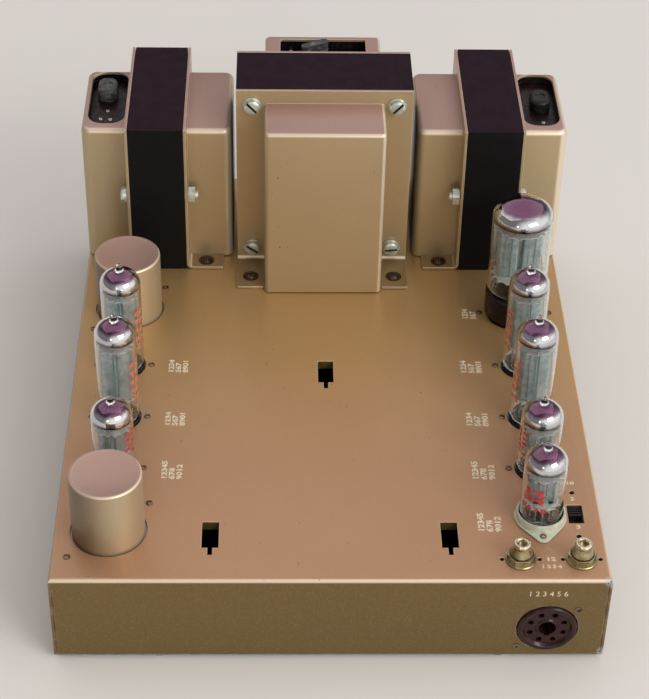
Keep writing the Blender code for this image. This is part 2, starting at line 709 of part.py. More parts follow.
def make_chassis():
    """The folded tray with all its holes."""
    chassis = piece("chassis", solid(chassis_body), "gold_paint")
    cut(chassis, solid(chassis_cavity), "cavity")
    cut(chassis, solid(chassis_mouth), "mouth")
    join(chassis, solid(keyhole_lips), "lips")
    cut(chassis, solid(top_holes), "top_holes")
    cut(chassis, solid(face_holes), "face_holes")
    cut(chassis, solid(seams), "seams")


def pad_places():
    """Centres of the four pads it stands on."""
    x = CHASSIS_WIDTH / 2 - PAD_SIDE_INSET
    ends = (FRONT_FACE + PAD_END_INSET, REAR_FACE - PAD_END_INSET)
    return [(side * x, y) for side in (-1, 1) for y in ends]


def cover_plate(bm):
    """The flat plate under the chassis flanges."""
    half = CHASSIS_WIDTH / 2 - COVER_INSET
    low = (-half, FRONT_FACE + COVER_INSET, PAD_HEIGHT)
    block(bm, low, (half, REAR_FACE - COVER_INSET, PAD_HEIGHT + COVER_SHEET))


def cover_pads(bm):
    """Four round pads pressed out of the plate."""
    radius = PAD_DIAMETER / 2
    top = PAD_HEIGHT + COVER_SHEET / 2
    profile = [(0.0, top), (radius, top), (radius, PAD_ROUND), (radius - PAD_ROUND, 0.0), (0.0, 0.0)]
    for x, y in pad_places():
        turned(bm, profile, PAD_STEPS, centre=(x, y, 0.0))


def cover_dimples(bm):
    """The hollow that pressing leaves inside each pad."""
    for x, y in pad_places():
        outline = circle(PAD_DIAMETER - 2 * COVER_SHEET, PAD_STEPS, (x, y))
        prism(bm, outline, COVER_SHEET, PAD_HEIGHT + COVER_SHEET + OVERRUN)


def make_bottom_cover():
    """The plate with its pressed pads."""
    cover = piece("bottom_cover", solid(cover_plate), "zinc")
    join(cover, solid(cover_pads), "pads")
    cut(cover, solid(cover_dimples), "dimples")


# Sockets

def pin_places(diameter, places, count):
    """Places of a valve's pins around its axis, with the free place at the back."""
    step = 2 * math.pi / places
    first = math.pi / 2 + step / 2 if count == places else math.pi / 2 + step
    radius = diameter / 2
    turns = [first + step * i for i in range(count)]
    return [(radius * math.cos(a), radius * math.sin(a)) for a in turns]


def noval_pins():
    """Nine of the ten places on the small pin circle."""
    return pin_places(NOVAL_PIN_CIRCLE, NOVAL_PIN_COUNT + 1, NOVAL_PIN_COUNT)


def octal_pins():
    """All eight places on the large pin circle."""
    return pin_places(OCTAL_PIN_CIRCLE, OCTAL_PIN_COUNT, OCTAL_PIN_COUNT)


def pin_holes(bm, places, diameter, bore, low, high):
    """The contact holes and the middle hole of a socket."""
    for place in places:
        prism(bm, circle(diameter, PIN_STEPS, place), low, high)
    prism(bm, circle(bore, KEY_STEPS, start=math.pi / KEY_STEPS), low, high)


def socket_body(bm, top_diameter, body_diameter, stand, depth):
    """A turned moulding, wide through the sheet and narrower below it."""
    shoulder = -CHASSIS_SHEET - GAP - SADDLE_SHEET / 2
    profile = [
        (0.0, stand),
        (top_diameter / 2, stand),
        (top_diameter / 2, shoulder),
        (body_diameter / 2, shoulder),
        (body_diameter / 2, -CHASSIS_SHEET - depth),
        (0.0, -CHASSIS_SHEET - depth),
    ]
    turned(bm, profile, NOVAL_STEPS)


def noval_socket(name, x, distance, on_top):
    """A nine-pin socket under the sheet, or on top of it in a skirt."""
    stand = FRONT_SOCKET_STAND if on_top else SOCKET_STAND
    body = solid(socket_body, SOCKET_TOP_DIAMETER, SOCKET_BODY_DIAMETER, stand, SOCKET_DEPTH)
    socket = piece(name, body, "black_bakelite", (x, row(distance), TOP))
    turn = math.pi / 2 if on_top else 0.0
    outline = saddle(SADDLE_DIAMETER, NOVAL_RIVET_PITCH, SADDLE_EAR_DIAMETER, turn)
    low = GAP if on_top else -CHASSIS_SHEET - GAP - SADDLE_SHEET
    join(socket, solid(prism, outline, low, low + SADDLE_SHEET), "saddle")
    if on_top:
        ring = circle(SKIRT_DIAMETER, SKIRT_STEPS)
        join(socket, solid(prism, ring, GAP + SADDLE_SHEET / 2, SKIRT_HEIGHT), "skirt")
        hollow = circle(SKIRT_BORE, SKIRT_STEPS)
        cut(socket, solid(prism, hollow, stand, SKIRT_HEIGHT + OVERRUN), "skirt_bore")
    hole = NOVAL_PIN_DIAMETER + 2 * PIN_CLEARANCE
    low = -CHASSIS_SHEET - SOCKET_DEPTH - OVERRUN
    cut(socket, solid(pin_holes, noval_pins(), hole, SOCKET_BORE, low, stand + OVERRUN), "pin_holes")


def octal_socket(name, x, distance):
    """The rectifier's eight-pin socket."""
    sizes = (OCTAL_SOCKET_TOP_DIAMETER, OCTAL_SOCKET_BODY_DIAMETER, OCTAL_SOCKET_STAND, OCTAL_SOCKET_DEPTH)
    socket = piece(name, solid(socket_body, *sizes), "brown_bakelite", (x, row(distance), TOP))
    outline = saddle(OCTAL_SADDLE_DIAMETER, OCTAL_RIVET_PITCH, SADDLE_EAR_DIAMETER)
    low = -CHASSIS_SHEET - GAP - SADDLE_SHEET
    join(socket, solid(prism, outline, low, low + SADDLE_SHEET), "saddle")
    hole = OCTAL_PIN_DIAMETER + 2 * PIN_CLEARANCE
    bore = OCTAL_KEY_DIAMETER + 2 * OCTAL_KEY_CLEARANCE
    low = -CHASSIS_SHEET - OCTAL_SOCKET_DEPTH - OVERRUN
    high = OCTAL_SOCKET_STAND + OVERRUN
    cut(socket, solid(pin_holes, octal_pins(), hole, bore, low, high), "pin_holes")


# Valves

def dome(radius, height, base, crown, steps):
    """Points of an elliptical dome, from its crown down to its shoulder."""
    first = math.acos(crown / radius)
    turns = [first * (1 - step / steps) for step in range(steps + 1)]
    return [(radius * math.cos(a), base + height * math.sin(a)) for a in turns]


def noval_envelope(bm, height):
    """A glass thimble with a domed top and a sealed pip."""
    radius = NOVAL_GLASS_DIAMETER / 2
    inside = radius - NOVAL_WALL
    pip = NOVAL_PIP_DIAMETER / 2
    shoulder = height - NOVAL_PIP_HEIGHT - NOVAL_DOME_HEIGHT
    outer = [(0.0, height), (pip / 2, height - pip / 2), (pip, height - NOVAL_PIP_HEIGHT + pip)]
    outer += dome(radius, NOVAL_DOME_HEIGHT, shoulder, pip, DOME_STEPS)
    foot = radius - NOVAL_HEEL
    outer += arc((foot, NOVAL_HEEL), NOVAL_HEEL, 0.0, -math.pi / 2, ROUND_STEPS)
    mouth = foot - NOVAL_RIM
    inner = [(mouth, 0.0), (mouth, NOVAL_WALL), (inside, NOVAL_HEEL)]
    inner += reversed(dome(inside, NOVAL_DOME_HEIGHT - NOVAL_WALL, shoulder, MERGE, DOME_STEPS - 1)[1:])
    crown = (0.0, shoulder + NOVAL_DOME_HEIGHT - NOVAL_WALL)
    turned(bm, outer + inner + [crown], NOVAL_STEPS)


def noval_electrodes(name, parent, height, anode, place):
    """The glass button with its pins, stem, mica discs and anode."""
    button = NOVAL_GLASS_DIAMETER - 2 * (NOVAL_HEEL + NOVAL_RIM + GAP)
    anode_height, anode_width, anode_depth = anode
    anode_top = height - NOVAL_PIP_HEIGHT - NOVAL_DOME_HEIGHT - ANODE_TOP_MARGIN
    anode_bottom = anode_top - anode_height
    core = solid(prism, circle(button, NOVAL_STEPS), 0.0, NOVAL_BUTTON_HEIGHT)
    item = piece(name, core, "electrode_steel", place, parent=parent)
    sunk = NOVAL_BUTTON_HEIGHT / 2
    pin = NOVAL_PIN_DIAMETER

    def pins(bm):
        for spot in noval_pins():
            prism(bm, circle(pin, PIN_STEPS, spot), -NOVAL_PIN_LENGTH, sunk)

    def stem(bm):
        prism(bm, circle(STEM_DIAMETER, PIN_STEPS), sunk, anode_bottom + MICA_THICKNESS)

    def discs(bm):
        for low in (anode_bottom - MICA_THICKNESS / 2, anode_top - MICA_THICKNESS / 2):
            prism(bm, circle(MICA_DIAMETER, MICA_STEPS), low, low + MICA_THICKNESS)

    def plate(bm):
        prism(bm, rounded_rectangle(anode_width, anode_depth, ANODE_ROUND), anode_bottom, anode_top)

    join(item, solid(pins), "pins")
    join(item, solid(stem), "stem")
    join(item, solid(plate), "anode")
    join(item, solid(discs), "micas")


def noval_valve(name, x, distance, height, anode, stand):
    """One nine-pin valve: its glass and what stands inside it."""
    seat = TOP + stand + GAP
    axis = anchor(name + "_axis", (x, row(distance), seat))
    piece(name + "_glass", solid(noval_envelope, height), "glass", parent=axis)
    noval_electrodes(name + "_electrodes", axis, height, anode, (0.0, 0.0, 0.0))


def rectifier_envelope(bm):
    """The wide glass bulb, necked in where it enters its base."""
    radius, neck = RECTIFIER_GLASS_DIAMETER / 2, RECTIFIER_NECK_DIAMETER / 2
    wall = RECTIFIER_WALL
    shoulder = RECTIFIER_HEIGHT - RECTIFIER_DOME_HEIGHT
    bottom = RECTIFIER_BASE_HEIGHT - RECTIFIER_BASE_RECESS + GAP
    heel = radius - neck
    full = RECTIFIER_BASE_HEIGHT + GAP + heel
    crown = radius * RECTIFIER_CROWN_SHARE
    outer = [(0.0, RECTIFIER_HEIGHT)]
    outer += dome(radius, RECTIFIER_DOME_HEIGHT, shoulder, crown, DOME_STEPS)
    outer += arc((neck, full), heel, 0.0, -math.pi / 2, ROUND_STEPS)
    outer += [(neck, bottom), (neck - wall, bottom)]
    inner = [(neck - wall, full - heel + wall), (radius - wall, full)]
    rest = dome(radius - wall, RECTIFIER_DOME_HEIGHT - wall, shoulder, MERGE, DOME_STEPS)
    turned(bm, outer + inner + list(reversed(rest[1:])) + [(0.0, rest[0][1])], RECTIFIER_STEPS)


def rectifier_base(bm):
    """The bakelite base with the recess that holds the glass."""
    radius = RECTIFIER_BASE_DIAMETER / 2
    mouth = RECTIFIER_NECK_DIAMETER / 2 + GAP
    floor = RECTIFIER_BASE_HEIGHT - RECTIFIER_BASE_RECESS
    key = OCTAL_KEY_DIAMETER / 2
    profile = [
        (0.0, floor),
        (mouth, floor),
        (mouth, RECTIFIER_BASE_HEIGHT),
        (radius, RECTIFIER_BASE_HEIGHT),
        (radius, 0.0),
        (key, 0.0),
        (key, -OCTAL_KEY_LENGTH),
        (0.0, -OCTAL_KEY_LENGTH),
    ]
    turned(bm, profile, RECTIFIER_STEPS)


def make_rectifier(name, x, distance):
    """The rectifier: glass, and base with pins and electrodes."""
    axis = anchor(name + "_axis", (x, row(distance), TOP + OCTAL_SOCKET_STAND + GAP))
    piece(name + "_glass", solid(rectifier_envelope), "glass", parent=axis)
    base = piece(name + "_base", solid(rectifier_base), "brown_bakelite", parent=axis)
    floor = RECTIFIER_BASE_HEIGHT - RECTIFIER_BASE_RECESS
    anode_top = RECTIFIER_HEIGHT - RECTIFIER_DOME_HEIGHT - ANODE_TOP_MARGIN
    anode_bottom = anode_top - RECTIFIER_ANODE_HEIGHT

    def pins(bm):
        for spot in octal_pins():
            prism(bm, circle(OCTAL_PIN_DIAMETER, PIN_STEPS, spot), -OCTAL_PIN_LENGTH, floor / 2)

    def stem(bm):
        prism(bm, circle(RECTIFIER_STEM_DIAMETER, MICA_STEPS), floor / 2, anode_bottom + MICA_THICKNESS)

    def plate(bm):
        outline = rounded_rectangle(RECTIFIER_ANODE_WIDTH, RECTIFIER_ANODE_DEPTH, ANODE_ROUND)
        prism(bm, outline, anode_bottom, anode_top)

    def discs(bm):
        for low in (anode_bottom - MICA_THICKNESS / 2, anode_top - MICA_THICKNESS / 2):
            prism(bm, circle(RECTIFIER_MICA_DIAMETER, MICA_STEPS), low, low + MICA_THICKNESS)

    join(base, solid(pins), "pins")
    join(base, solid(stem), "stem")
    join(base, solid(plate), "anode")
    join(base, solid(discs), "micas")


# Capacitor cans

def can_body(bm):
    """A drawn can that stands through the sheet."""
    radius = CAN_DIAMETER / 2
    profile = [
        (0.0, CAN_HEIGHT),
        (radius - CAN_ROUND, CAN_HEIGHT),
        (radius, CAN_HEIGHT - CAN_ROUND),
        (radius, -CAN_DEPTH),
        (0.0, -CAN_DEPTH),
    ]
    turned(bm, profile, CAN_STEPS)


def make_can(name, distance):
    """A capacitor can with its mounting plate under the sheet."""
    can = piece(name, solid(can_body), "gold_paint", (LEFT_COLUMN, row(distance), TOP))
    outline = rounded_rectangle(CAN_PLATE_SIDE, CAN_PLATE_SIDE, CAN_PLATE_ROUND)
    high = -CHASSIS_SHEET - GAP
    join(can, solid(prism, outline, high - CAN_PLATE_SHEET, high), "plate")


# Phono sockets

def phono_body(bm):
    """A turned barrel with a rolled lip and a blind bore."""
    radius, bore = PHONO_BARREL_DIAMETER / 2, PHONO_BORE / 2
    top = PHONO_BARREL_HEIGHT
    bush = PHONO_BUSH_DIAMETER / 2
    washer = PHONO_WASHER_DIAMETER / 2
    waist = PHONO_WAIST_DIAMETER / 2
    collar = PHONO_COLLAR_DIAMETER / 2
    collar_top = PHONO_WASHER_HEIGHT + PHONO_NUT_HEIGHT + PHONO_COLLAR_HEIGHT
    profile = [
        (0.0, top - PHONO_BORE_DEPTH),
        (bore, top - PHONO_BORE_DEPTH),
        (bore, top - PHONO_LIP),
        (bore + PHONO_LIP, top),
        (radius - PHONO_LIP, top),
        (radius, top - PHONO_LIP),
        (radius, top - PHONO_LIP_HEIGHT),
        (waist, top - PHONO_LIP_HEIGHT - PHONO_LIP),
        (waist, collar_top),
        (collar, collar_top),
        (collar, PHONO_WASHER_HEIGHT),
        (washer, PHONO_WASHER_HEIGHT),
        (washer, GAP),
        (bush, GAP),
        (bush, -CHASSIS_SHEET - GAP),
        (washer, -CHASSIS_SHEET - GAP),
        (washer, -CHASSIS_SHEET - GAP - PHONO_WASHER_HEIGHT),
        (radius, -CHASSIS_SHEET - GAP - PHONO_WASHER_HEIGHT),
        (radius, -PHONO_DEPTH),
        (0.0, -PHONO_DEPTH),
    ]
    turned(bm, profile, PHONO_STEPS)


def make_phono(name, x):
    """A phono socket through the top sheet."""
    socket = piece(name, solid(phono_body), "brass", (x, row(PHONO_ROW), TOP))
    low, high = PHONO_WASHER_HEIGHT / 2, PHONO_WASHER_HEIGHT + PHONO_NUT_HEIGHT
    join(socket, solid(prism, hexagon(PHONO_NUT_ACROSS), low, high), "nut")
    floor = PHONO_BARREL_HEIGHT - PHONO_BORE_DEPTH
    bore = circle(PHONO_BORE, PHONO_STEPS)
    cut(socket, solid(prism, bore, floor, PHONO_BARREL_HEIGHT + OVERRUN), "bore")


# Slide switch

def make_switch():
    """The switch body under the sheet and the slider in its slot."""
    place = (SWITCH_X, row(SWITCH_ROW), UNDERSIDE - GAP)
    frame = rounded_rectangle(SWITCH_BODY_WIDTH, SWITCH_FRAME_LENGTH, SWITCH_FRAME_SHEET)
    body = piece("slide_switch_body", solid(prism, frame, -SWITCH_FRAME_SHEET, 0.0), "zinc", place)
    case = rectangle(SWITCH_BODY_WIDTH, SWITCH_BODY_LENGTH)
    join(body, solid(prism, case, -SWITCH_BODY_HEIGHT, -SWITCH_FRAME_SHEET / 2), "case")
    track = rectangle(SLIDER_WIDTH + 2 * GAP, SWITCH_SLOT_LENGTH)
    cut(body, solid(prism, track, -SWITCH_TRACK_DEPTH, OVERRUN), "track")
    for side in (-1, 1):
        hole = circle(SWITCH_SCREW_HOLE, HOLE_STEPS, (0.0, side * SWITCH_SCREW_PITCH / 2))
        cut(body, solid(prism, hole, -SWITCH_BODY_HEIGHT, OVERRUN), "screw_hole")
    make_slider()


def make_slider():
    """The ribbed slider, at the rear end of its track."""
    bottom = UNDERSIDE - GAP - SWITCH_TRACK_DEPTH + GAP
    high = TOP - SLIDER_RECESS - bottom
    back = row(SWITCH_ROW) + SWITCH_SLOT_LENGTH / 2 - GAP - SLIDER_LENGTH / 2
    outline = rectangle(SLIDER_WIDTH, SLIDER_LENGTH)
    place = (SWITCH_X, back, bottom)
    slider = piece("slide_switch_slider", solid(prism, outline, 0.0, high), "black_bakelite", place)

    def grooves(bm):
        pitch = SLIDER_LENGTH / (SLIDER_RIB_COUNT + 1)
        for rib in range(SLIDER_RIB_COUNT):
            y = (rib + 1) * pitch - SLIDER_LENGTH / 2
            groove = rectangle(SLIDER_WIDTH + 2 * OVERRUN, SLIDER_RIB_WIDTH, (0.0, y))
            prism(bm, groove, high - SLIDER_RIB_DEPTH, high + OVERRUN)

    cut(slider, solid(grooves), "grooves")


# Outlet on the front face

def outlet_body(bm):
    """A turned moulding with a raised rim around its dished face."""
    radius = OUTLET_DIAMETER / 2
    inner = radius - OUTLET_RIM
    shoulder = CHASSIS_SHEET + GAP + SADDLE_SHEET / 2
    body = OUTLET_BODY_DIAMETER / 2
    profile = [
        (0.0, OUTLET_DISH - OUTLET_PROUD),
        (inner - OUTLET_DISH, OUTLET_DISH - OUTLET_PROUD),
        (inner, -OUTLET_PROUD),
        (radius - OUTLET_DISH / 2, -OUTLET_PROUD),
        (radius, OUTLET_DISH / 2 - OUTLET_PROUD),
        (radius, shoulder),
        (body, shoulder),
        (body, OUTLET_DEPTH),
        (0.0, OUTLET_DEPTH),
    ]
    turned(bm, profile, OUTLET_STEPS, axis="y")


def outlet_holes(bm):
    """Eight contact holes and the keyed middle hole."""
    low, high = -OUTLET_PROUD - OVERRUN, OUTLET_PIN_DEPTH
    for place in octal_pins():
        prism(bm, circle(OUTLET_PIN_HOLE, HOLE_STEPS, place), low, high, "y")
    key = circle(OUTLET_KEY_HOLE, KEY_STEPS, start=math.pi / KEY_STEPS)
    prism(bm, key, low, OUTLET_DEPTH + OVERRUN, "y")


def outlet_keyway(bm):
    """The notch at the bottom of the middle hole."""
    half = OUTLET_KEY_HOLE / 2
    outline = rectangle(OUTLET_KEYWAY, OUTLET_KEYWAY, (0.0, -half))
    prism(bm, outline, -OUTLET_PROUD - OVERRUN, OUTLET_DEPTH + OVERRUN, "y")


def make_outlet():
    """The eight-pin outlet socket."""
    place = (OUTLET_X, FRONT_FACE, CHASSIS_BOTTOM + OUTLET_HEIGHT)
    outlet = piece("front_outlet_socket", solid(outlet_body), "brown_bakelite", place)
    outline = saddle(OCTAL_SADDLE_DIAMETER, OCTAL_RIVET_PITCH, SADDLE_EAR_DIAMETER, OUTLET_EAR_ANGLE)
    low = CHASSIS_SHEET + GAP
    join(outlet, solid(prism, outline, low, low + SADDLE_SHEET, "y"), "saddle")
    cut(outlet, solid(outlet_holes), "holes")
    cut(outlet, solid(outlet_keyway), "keyway")


# Transformers

class Transformer:
    """The sizes of one transformer, in its own frame.

    Its front end cover faces -Y, its stack is centred on Y = 0 and its feet are at Z = 0.
    """

    def __init__(self, core, bell, bell_rounds, foot, bolts, bulge):
        self.width, self.height, self.stack = core
        self.bell_width, self.bell_depth, self.bell_drop = bell
        self.bell_corner, self.bell_round = bell_rounds
        self.foot_width, self.foot_reach = foot
        self.bolts = bolts
        self.bulge = bulge
        self.plate_face = self.stack / 2 + GAP
        self.middle = self.height / 2
        self.yoke = self.height * YOKE_SHARE
        self.window_length = self.width - 2 * self.yoke
        self.winding_length = min(self.window_length, self.bell_width - 2 * BELL_WALL) - 2 * WINDING_CLEARANCE
        self.bell_top = self.height - self.bell_drop
        self.winding_top = self.middle + self.yoke + WINDING_SHARE * self.yoke


def mains_transformer():
    """Sizes of the mains transformer."""
    bolts = [(x * MAINS_BOLT_SPREAD, z * MAINS_BOLT_RISE) for x in (-1, 1) for z in (-1, 1)]
    return Transformer(
        (MAINS_CORE_WIDTH, MAINS_CORE_HEIGHT, MAINS_STACK),
        (MAINS_BELL_WIDTH, MAINS_BELL_DEPTH, MAINS_BELL_DROP),
        (MAINS_BELL_CORNER, MAINS_BELL_ROUND),
        (MAINS_FOOT_WIDTH, MAINS_FOOT_REACH),
        bolts,
        MAINS_WINDING_BULGE,
    )


def output_transformer():
    """Sizes of an output transformer."""
    bolts = [(x * OUTPUT_BOLT_SPREAD, OUTPUT_BOLT_RISE) for x in (-1, 1)]
    return Transformer(
        (OUTPUT_CORE_WIDTH, OUTPUT_CORE_HEIGHT, OUTPUT_STACK),
        (OUTPUT_BELL_WIDTH, OUTPUT_BELL_DEPTH, OUTPUT_BELL_DROP),
        (OUTPUT_BELL_CORNER, OUTPUT_BELL_ROUND),
        (OUTPUT_FOOT_WIDTH, OUTPUT_FOOT_REACH),
        bolts,
        OUTPUT_WINDING_BULGE,
    )


def make_core(name, unit, parent):
    """The lamination stack with its two windows and bolt holes."""

    def stack(bm):
        half = unit.width / 2
        block(bm, (-half, -unit.stack / 2, 0.0), (half, unit.stack / 2, unit.height))
        bevel_where(bm, lambda edge: True, CORE_EDGE, 1)

    def openings(bm):
        reach = unit.stack / 2 + OVERRUN
        for side in (-1, 1):
            centre = (0.0, unit.middle + side * (unit.yoke + unit.yoke / 2))
            prism(bm, rectangle(unit.window_length, unit.yoke, centre), -reach, reach, "y")
        hole = BOLT_DIAMETER + 2 * BOLT_CLEARANCE
        for x, z in unit.bolts:
            prism(bm, circle(hole, HOLE_STEPS, (x, unit.middle + z)), -reach, reach, "y")

    core = piece(name, solid(stack), "black_lacquer", parent=parent)
    cut(core, solid(openings), "openings")


def make_winding(name, unit, parent):
    """The wound bobbin around the core's middle limb."""
    length = unit.winding_length
    height = 2 * (unit.winding_top - unit.middle)
    depth = unit.stack + 2 * unit.bulge
    limb = 2 * unit.yoke + 2 * WINDING_CLEARANCE

    def coil(bm):
        outline = rounded_rectangle(depth, height, WINDING_ROUND, centre=(0.0, unit.middle))
        prism(bm, outline, -length / 2, length / 2, "x")

    def bore(bm):
        outline = rectangle(unit.stack + 2 * WINDING_CLEARANCE, limb, (0.0, unit.middle))
        prism(bm, outline, -length / 2 - OVERRUN, length / 2 + OVERRUN, "x")

    winding = piece(name, solid(coil), "winding", parent=parent)
    cut(winding, solid(bore), "bore")


def bell(bm, unit, inset, base, back):
    """A box with rounded edges, standing out of the end plate towards -Y."""
    half = unit.bell_width / 2 - inset
    front = -unit.plate_face - PLATE_SHEET - unit.bell_depth + inset
    top = unit.bell_top - inset
    block(bm, (-half, front, base), (half, back, top))

    def upright(edge):
        a, b = (v.co for v in edge.verts)
        return a.y < front + MERGE and b.y < front + MERGE and abs(a.x - b.x) < MERGE

    def rim(edge):
        a, b = (v.co for v in edge.verts)
        return min(a.z, b.z) > top - MERGE and min(a.y, b.y) < back - MERGE

    bevel_where(bm, upright, unit.bell_corner - inset, BELL_STEPS)
    bevel_where(bm, rim, unit.bell_round - inset, BELL_STEPS)


def folded_foot(bm, low, high, unit):
    """The sheet below the end plate's fold, bent out into a foot between two X places."""
    inner = -unit.plate_face
    hinge = (inner - PLATE_SHEET - FOOT_BEND, PLATE_SHEET + FOOT_BEND)
    toe = inner - PLATE_SHEET - unit.foot_reach
    under = arc(hinge, PLATE_SHEET + FOOT_BEND, 0.0, -math.pi / 2, FOOT_STEPS) + [(toe, 0.0)]
    over = arc(hinge, FOOT_BEND, 0.0, -math.pi / 2, FOOT_STEPS) + [(toe, PLATE_SHEET)]
    sides = [[[bm.verts.new((x, *spot)) for spot in path] for path in (under, over)] for x in (low, high)]
    (low_under, low_over), (high_under, high_over) = sides
    for near, far in ((low_under, high_under), (low_over, high_over)):
        for i in range(len(near) - 1):
            bm.faces.new((near[i], near[i + 1], far[i + 1], far[i]))
    for below, above in sides:
        for i in range(len(below) - 1):
            bm.faces.new((below[i], below[i + 1], above[i + 1], above[i]))
    bm.faces.new((low_under[-1], low_over[-1], high_over[-1], high_under[-1]))


def folded_plate(bm, unit):
    """The end plate with a foot folded out at each lower corner."""
    inner = -unit.plate_face
    half, notch = unit.width / 2, unit.width / 2 - unit.foot_width
    fold = PLATE_SHEET + FOOT_BEND
    xs = (-half, -notch, notch, half)
    outline = [(x, fold) for x in xs] + [(half, unit.height), (-half, unit.height)]
    faces = prism(bm, outline, inner - PLATE_SHEET, inner, "y")
    first_side = len(faces) - len(outline)
    bmesh.ops.delete(bm, geom=[faces[first_side], faces[first_side + 2]], context="FACES_ONLY")
    folded_foot(bm, -half, -notch, unit)
    folded_foot(bm, notch, half, unit)
    bmesh.ops.remove_doubles(bm, verts=bm.verts, dist=MERGE)
    toe = inner - PLATE_SHEET - unit.foot_reach

    def picks(edge):
        a, b = (v.co for v in edge.verts)
        return max(a.y, b.y) < toe + MERGE and abs(a.z - b.z) > MERGE

    bevel_where(bm, picks, FOOT_CORNER, ROUND_STEPS)


def end_cover(name, unit, parent, angle):
    """An end plate with its bell and two folded feet."""
    inner, outer = -unit.plate_face, -unit.plate_face - PLATE_SHEET

    def shell(bm):
        bell(bm, unit, 0.0, GAP, (inner + outer) / 2)

    def hollow(bm):
        bell(bm, unit, BELL_WALL, -OVERRUN, inner + OVERRUN)

    def bolt_holes(bm):
        hole = BOLT_DIAMETER + 2 * BOLT_CLEARANCE
        for x, z in unit.bolts:
            outline = circle(hole, HOLE_STEPS, (x, unit.middle + z))
            prism(bm, outline, outer - OVERRUN, inner + OVERRUN, "y")

    cover = piece(name, solid(folded_plate, unit), "gold_paint", turn=angle, parent=parent)
    join(cover, solid(shell), "bell")
    cut(cover, solid(hollow), "hollow")
    cut(cover, solid(bolt_holes), "bolt_holes")
    return cover


def make_bolt(name, unit, parent, place):
    """A slotted bolt right through the stack, with its nut behind."""
    radius, head = BOLT_DIAMETER / 2, BOLT_HEAD_DIAMETER / 2
    seat = unit.plate_face + PLATE_SHEET + GAP
    top = seat + BOLT_HEAD_HEIGHT
    tail = seat + NUT_HEIGHT + BOLT_END
    profile = [
        (0.0, -top),
        (head - BOLT_HEAD_ROUND, -top),
        (head, BOLT_HEAD_ROUND - top),
        (head, -seat),
        (radius, -seat),
        (radius, tail),
        (0.0, tail),
    ]
    x, z = place
    shank = solid(turned, profile, BOLT_STEPS, axis="y")
    bolt = piece(name, shank, "zinc", (x, 0.0, unit.middle + z), parent=parent)
    join(bolt, solid(prism, hexagon(NUT_ACROSS), seat, seat + NUT_HEIGHT, "y"), "nut")
    slot = rectangle(BOLT_SLOT_WIDTH, BOLT_HEAD_DIAMETER + 2 * OVERRUN)
    low, high = -top - OVERRUN, -top + BOLT_SLOT_DEPTH
    cut(bolt, solid(prism, slot, low, high, "y"), "slot")


def top_opening(cover, unit, outline):
    """Cuts an opening through the top of a cover's bell."""
    low, high = unit.bell_top - BELL_WALL - unit.bell_corner, unit.bell_top + OVERRUN
    cut(cover, solid(prism, outline, low, high), "top_opening")


def bell_inside(unit):
    """Width and depth of the space inside a bell, and its middle from the stack's centre."""
    width = unit.bell_width - 2 * BELL_WALL
    near = unit.plate_face + PLATE_SHEET + GAP
    far = unit.plate_face + PLATE_SHEET + unit.bell_depth - BELL_WALL
    return width, far - near, (far + near) / 2


def selector_panel(name, unit, parent, angle, drop, holes):
    """A moulded panel on legs across the bell, under its top opening."""
    width, depth, middle = bell_inside(unit)
    outline = rounded_rectangle(width - 2 * GAP, depth - 2 * GAP, unit.bell_corner, centre=(0.0, -middle))
    high = unit.bell_top - BELL_WALL - drop
    low = high - SELECTOR_SHEET

    def legs(bm):
        x = unit.winding_length / 2 + WINDING_CLEARANCE - PANEL_LEG_INSET
        y = -unit.plate_face - PLATE_SHEET - PANEL_LEG_INSET
        for side in (-1, 1):
            leg = rectangle(PANEL_LEG_SIDE, PANEL_LEG_SIDE, (side * x, y))
            prism(bm, leg, unit.winding_top + GAP, low + SELECTOR_SHEET / 2)

    def sockets(bm):
        for place, diameter in holes:
            prism(bm, circle(diameter, HOLE_STEPS, place), low - OVERRUN, high + OVERRUN)

    sheet = solid(prism, outline, low, high)
    panel = piece(name, sheet, "brown_bakelite", turn=angle, parent=parent)
    join(panel, solid(legs), "legs")
    cut(panel, solid(sockets), "sockets")
    return high


def make_mains_transformer():
    """The upright transformer in the middle of the rear."""
    unit = mains_transformer()
    base = anchor("mains_transformer", (MAINS_X, row(MAINS_ROW), TOP + GAP))
    make_core("mains_core", unit, base)
    make_winding("mains_winding", unit, base)
    end_cover("mains_front_cover", unit, base, 0.0)
    rear = end_cover("mains_rear_cover", unit, base, math.pi)
    wall = unit.plate_face + PLATE_SHEET
    centre = (0.0, -wall - VOLTAGE_OPENING_RIM - VOLTAGE_OPENING_DEPTH / 2)
    size = (VOLTAGE_OPENING_WIDTH, VOLTAGE_OPENING_DEPTH, VOLTAGE_OPENING_ROUND)
    top_opening(rear, unit, rounded_rectangle(*size, centre=centre))
    knob = (-KNOB_X, -wall - KNOB_FROM_PLATE)
    holes = [(knob, KNOB_PIVOT_DIAMETER + 2 * GAP)]
    top = selector_panel("voltage_selector_panel", unit, base, math.pi, VOLTAGE_DROP, holes)
    for number, place in enumerate(unit.bolts, 1):
        make_bolt("mains_bolt_" + str(number), unit, base, place)
    axis = anchor("voltage_selector_axis", (-knob[0], -knob[1], top + GAP), parent=base)
    make_knob(axis)


